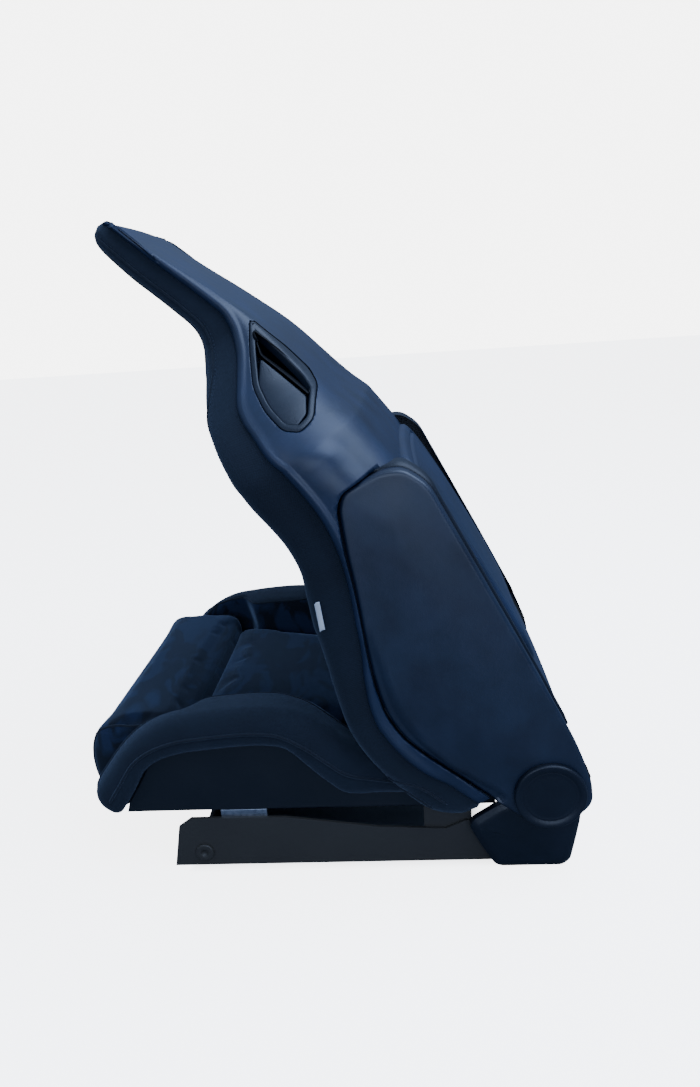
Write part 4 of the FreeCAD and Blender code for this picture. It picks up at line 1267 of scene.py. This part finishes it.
def bolster_slice(t):
    """Control points (across, y, z) round the left bolster, t from its tongue to its tail."""
    top_y, top_z = along(BOLSTER_TOP, t)
    under_y, under_z = along(BOLSTER_UNDER, t)
    tail = blend(0.60, 0.85, t)
    behind_roll = blend(ROLL_JOINT - 4, ROLL_JOINT + 26, top_y)
    foot = (ROLL_HALF + 1.5) * (1 - behind_roll) + (PAD_HALF + 1.5) * behind_roll
    foot_z = min(under_z, 150) * (1 - behind_roll) + (150 - 30 * tail) * behind_roll
    out = PAN_OUT + 20 - 12 * tail
    in_line = PAN_OUT - 4.5

    def at(across, share, push=0.0):
        return (across, under_y + (top_y - under_y) * share, under_z + (top_z - under_z) * share + push)
    return [at(PAN_OUT + 1.0, 0.03), at(out - 7, 0.0), at(out - 1.5, 0.14), at(out, 0.34), at(out - 0.5, 0.52),
            at(out - 2.5, 0.70), at(out - 8, 0.87), at(out - 17, 0.98), at(out - 27, 1.0, 0.5),
            at((out - 36) * 0.72 + foot * 0.28, 0.97), at((out - 40) * 0.35 + foot * 0.65, 0.78),
            (foot + 5, top_y * 0.5 + under_y * 0.5, foot_z + (top_z - foot_z) * 0.36),
            (foot, top_y * 0.4 + under_y * 0.6, foot_z + 2), (foot + 4, under_y, foot_z - 8),
            (in_line - 6, under_y + 1, under_z + 3), (in_line, under_y, under_z + 3)]


def bolster_point(a, t):
    """A point of the left bolster, its two ends drawn together."""
    points = bolster_slice(t)
    centre = [sum(point[axis] for point in points) / len(points) for axis in range(3)]
    taper = math.sqrt(1 - (1 - min(min(t, 1 - t) / 0.030, 1)) ** 2)
    place = closed_path(points, a)
    return seated(*(centre[axis] + (place[axis] - centre[axis]) * taper for axis in range(3)))


# %% Bolster mesh in two cloths
SUEDE_FROM, SUEDE_TO = 0.44, 0.86


def two_cloths(bm, first, second):
    """Marks the strip between two shares of the way round for the object's second material."""
    for face in bm.faces:
        middle = sum(loop[bm.loops.layers.float["share"]] for loop in face.loops) / len(face.loops)
        face.material_index = 1 if first < middle < second else 0


cushion_roll = bent_grid(112, 150, bolster_point, keep_share=True)
two_cloths(cushion_roll, SUEDE_FROM, SUEDE_TO)
for made in pair("cushion_bolster_roll", cushion_roll, jersey, "base", "cushion_bolster", "woven_fabric"):
    made.data.materials.append(suede_navy)
print("cushion bolsters with", len(BOLSTER_TOP), "stations each")

# %% [markdown]
# ## Thigh roll and seat pad
# Both are closed foam blocks in a sewn cover. A lofted block with rounded ends is swollen a little
# by cloth simulation, which pulls its sides in between the corners as real foam and suede do.

# %% Lofted cushion block
BLOCK_REACH = 0.47
FACE_SHARES = (0.0, 0.45, 0.78)
CLOTH_STIFFNESS, CLOTH_FRAMES = 18, 20


def cushion_block(profile, half, count, round_mm, slices=64):
    """A closed block: an outline (y, z) lofted across the seat, its ends rounded over."""
    outline = round_outline(profile, count, BLOCK_REACH)
    middle = sum(outline, Vector((0, 0))) / count
    ends = [(0.0, share) for share in FACE_SHARES]
    ends += [(1 - math.cos(angle), math.sin(angle)) for angle in map(math.radians, (0, 18, 36, 54, 72, 90))]
    total = slices + 2 * len(ends) - 1
    shrink = round_mm / 60

    def shape(a, t):
        row = round(t * total)
        point = outline[round(a * count) % count]
        mirror = row > total / 2
        row = total - row if mirror else row
        if row < len(FACE_SHARES):
            scale = ends[row][1] * 0.9
            across = -half - 1.5 * (1 - scale)
            place = middle.lerp(point, scale * (1 - shrink))
        elif row < len(ends):
            drop, rise = ends[row]
            across = -half + round_mm * drop
            place = middle.lerp(point, 1 - shrink + shrink * rise)
        else:
            across = (-half + round_mm) * (1 - (row - len(ends)) / (slices / 2 + 1) * 0.985)
            place = point
        return seated(-across if mirror else across, place.x, place.y)
    return bent_grid(count, total, shape)


def swollen(made, voxel_mm, pressure, cap_mm):
    """Swells a closed cushion by cloth simulation and keeps the result as its mesh."""
    modifier(made, "REMESH", "even", mode="VOXEL", voxel_size=voxel_mm * MM)
    apply_all(made)
    start = [vert.co.copy() for vert in made.data.vertices]
    cloth = modifier(made, "CLOTH", "foam")
    cloth.settings.use_pressure = True
    cloth.settings.uniform_pressure_force = pressure
    cloth.settings.tension_stiffness = CLOTH_STIFFNESS
    cloth.settings.compression_stiffness = CLOTH_STIFFNESS
    cloth.settings.effector_weights.gravity = 0
    cloth.point_cache.frame_start, cloth.point_cache.frame_end = 1, CLOTH_FRAMES
    for step in range(1, CLOTH_FRAMES + 1):
        bpy.context.scene.frame_set(step)
    apply_all(made)
    for vert, before in zip(made.data.vertices, start):
        move = vert.co - before
        if move.length > cap_mm * MM:
            vert.co = before + move.normalized() * cap_mm * MM
    bpy.context.scene.frame_set(1)
    modifier(made, "SUBSURF", "sewn_cover", levels=1, render_levels=1)
    apply_all(made)
    smooth_shaded(made)


# %% Thigh roll and seat pad
ROLL = [(ROLL_JOINT - 2, CUSHION_FLOOR + 3), (-528, CUSHION_FLOOR + 3), (-576, CUSHION_FLOOR + 8),
        (-585, CUSHION_FLOOR + 38), (-586, 150), (-577, 180), (-556, 187), (-510, 188), (-470, 186),
        (ROLL_JOINT - 3, 178), (ROLL_JOINT - 1, 165)]
SEAT = [(-92, CUSHION_FLOOR + 3), (-90, 118), (-104, 128), (-200, 147), (-330, 170), (-432, 182),
        (ROLL_JOINT + 4, 178), (ROLL_JOINT + 2.5, 160), (ROLL_JOINT + 2.5, CUSHION_FLOOR + 3)]
thigh = piece("thigh_roll_cushion", cushion_block(ROLL, ROLL_HALF - 3, 140, 14), suede_navy, "base",
              ["thigh_roll"], "suede")
seat = piece("seat_centre_cushion", cushion_block(SEAT, PAD_HALF - 3, 140, 12), suede_navy, "base",
             ["seat_pad"], "suede")
for made in (thigh, seat):
    swollen(made, 5.0, 4.0, 5.0)
    print(made.name, "faces", len(made.data.polygons))

# %% [markdown]
# ## Seams
# A sewn seam is a fine roll of cloth with a line of stitches beside it. Both follow the same path
# over the padding, so one function makes a tube along points and another lays stitches on them.

# %% Tubes and stitches


def seam_tube(path, radius_mm, around=8):
    """A closed tube along a path of points, its ends drawn together."""
    points = [Vector(point) for point in path]
    count = len(points) - 1

    def shape(a, t):
        index = round(t * count)
        before, after = points[max(index - 1, 0)], points[min(index + 1, count)]
        run = (after - before).normalized()
        side = run.cross(Vector((1, 0, 0)))
        side = side.normalized() if side.length > 0.1 else run.cross(Vector((0, 0, 1))).normalized()
        up = run.cross(side)
        size = radius_mm * MM * (0.0 if index in (0, count) else 1.0)
        return points[index] + (side * math.cos(a * math.tau) + up * math.sin(a * math.tau)) * size
    return bent_grid(around, count, shape)


def stitches(path, spacing_mm, length_mm, width_mm, lift_vector):
    """Short round threads laid end to end along a path."""
    whole = bmesh.new()
    lengths = [0.0]
    for before, after in zip(path, path[1:]):
        lengths.append(lengths[-1] + (Vector(after) - Vector(before)).length / MM)
    for number in range(int(lengths[-1] / spacing_mm)):
        at = (number + 0.5) * spacing_mm
        index = max(place for place, length in enumerate(lengths[:-1]) if length <= at)
        start, end = Vector(path[index]), Vector(path[index + 1])
        centre = start.lerp(end, (at - lengths[index]) / (lengths[index + 1] - lengths[index]))
        turn = (end - start).to_track_quat("X", "Z").to_matrix().to_4x4()
        size = Matrix.Diagonal((length_mm * MM, width_mm * MM, width_mm * MM * 0.7, 1))
        place = Matrix.Translation(centre + lift_vector * MM) @ turn @ size
        bmesh.ops.create_icosphere(whole, subdivisions=1, radius=0.5, matrix=place)
    return whole


def steps(count, low, high):
    """Even steps from low to high, both included."""
    return [low + (high - low) * step / count for step in range(count + 1)]


# %% Seams on the back bolsters
STRIP_SEAM, EDGE_SEAM = 0.235, 0.345
for share, radius, label in ((STRIP_SEAM, 1.4, "strip"), (EDGE_SEAM, 1.5, "edge")):
    path = [wing_point(share, t) for t in steps(220, 0.02, 0.98)]
    pair(f"back_{label}_seam", seam_tube(path, radius), piping, "backrest", finish_slot="woven_fabric")
stitch_path = [wing_point(STRIP_SEAM - 0.02, t) for t in steps(220, 0.02, 0.98)]
stitch_mesh = stitches(stitch_path, 4.6, 3.4, 0.8, Vector((0.2, 0, 0)))
pair("back_topstitch", stitch_mesh, thread, "backrest", finish_slot="woven_fabric")
print("back seams and topstitching")

# %% Seams on the cushion bolsters
BAND_SEAM = 0.5


def band_seam_point(t):
    """The seam between the upper and lower band: part of the way up the bolster's outer face."""
    lower, upper = (Vector(point) for point in bolster_slice(t)[3:5])
    return seated(*lower.lerp(upper, BAND_SEAM))


band_path = [band_seam_point(t) for t in steps(160, 0.035, 0.97)]
crown_path = [bolster_point(SUEDE_FROM, t) for t in steps(160, 0.02, 0.97)]
for path, radius, label in ((band_path, 2.2, "band"), (crown_path, 1.6, "crown")):
    pair(f"cushion_{label}_seam", seam_tube(path, radius), piping, "base", finish_slot="woven_fabric")

# %% Seams round the ends of the thigh roll
END_SEAM_IN = 9.0
end_path = [thigh.closest_point_on_mesh(seated(ROLL_HALF - END_SEAM_IN, spot.x, spot.y))[1]
            for spot in round_outline(ROLL, 160, BLOCK_REACH)]
pair("thigh_roll_end_seam", seam_tube(end_path, 1.6), piping, "base", finish_slot="suede")
print("end seam", len(end_path), "points")

# %% [markdown]
# ## The label in the seam
# A blank woven label is caught in the bolster's seam. It is a folded ribbon, so it stands out a
# little and has a soft bend.

# %% Seam label
TAG_TOP, TAG_FOOT = Vector((-99, 353)), Vector((-113, 321))
TAG_WIDTH = 7.0


def tag_place(a, t):
    line = TAG_TOP.lerp(TAG_FOOT, t)
    out = shell_slice(level_of(line.y))[0] - 1.5
    return leaned(out + 1.0 + 1.6 * math.sin(a * math.pi * 0.5), line.x + TAG_WIDTH * (a - 0.5),
                  line.y + 1.2 * math.sin(a * math.pi))


tag = piece("blank_woven_label", bent_grid(8, 24, tag_place), label_cloth, "backrest", ["seam_tag"],
            "tag_cloth")
modifier(tag, "SOLIDIFY", "folded", thickness=0.0008, offset=0)
print("label", TAG_WIDTH, "mm wide")
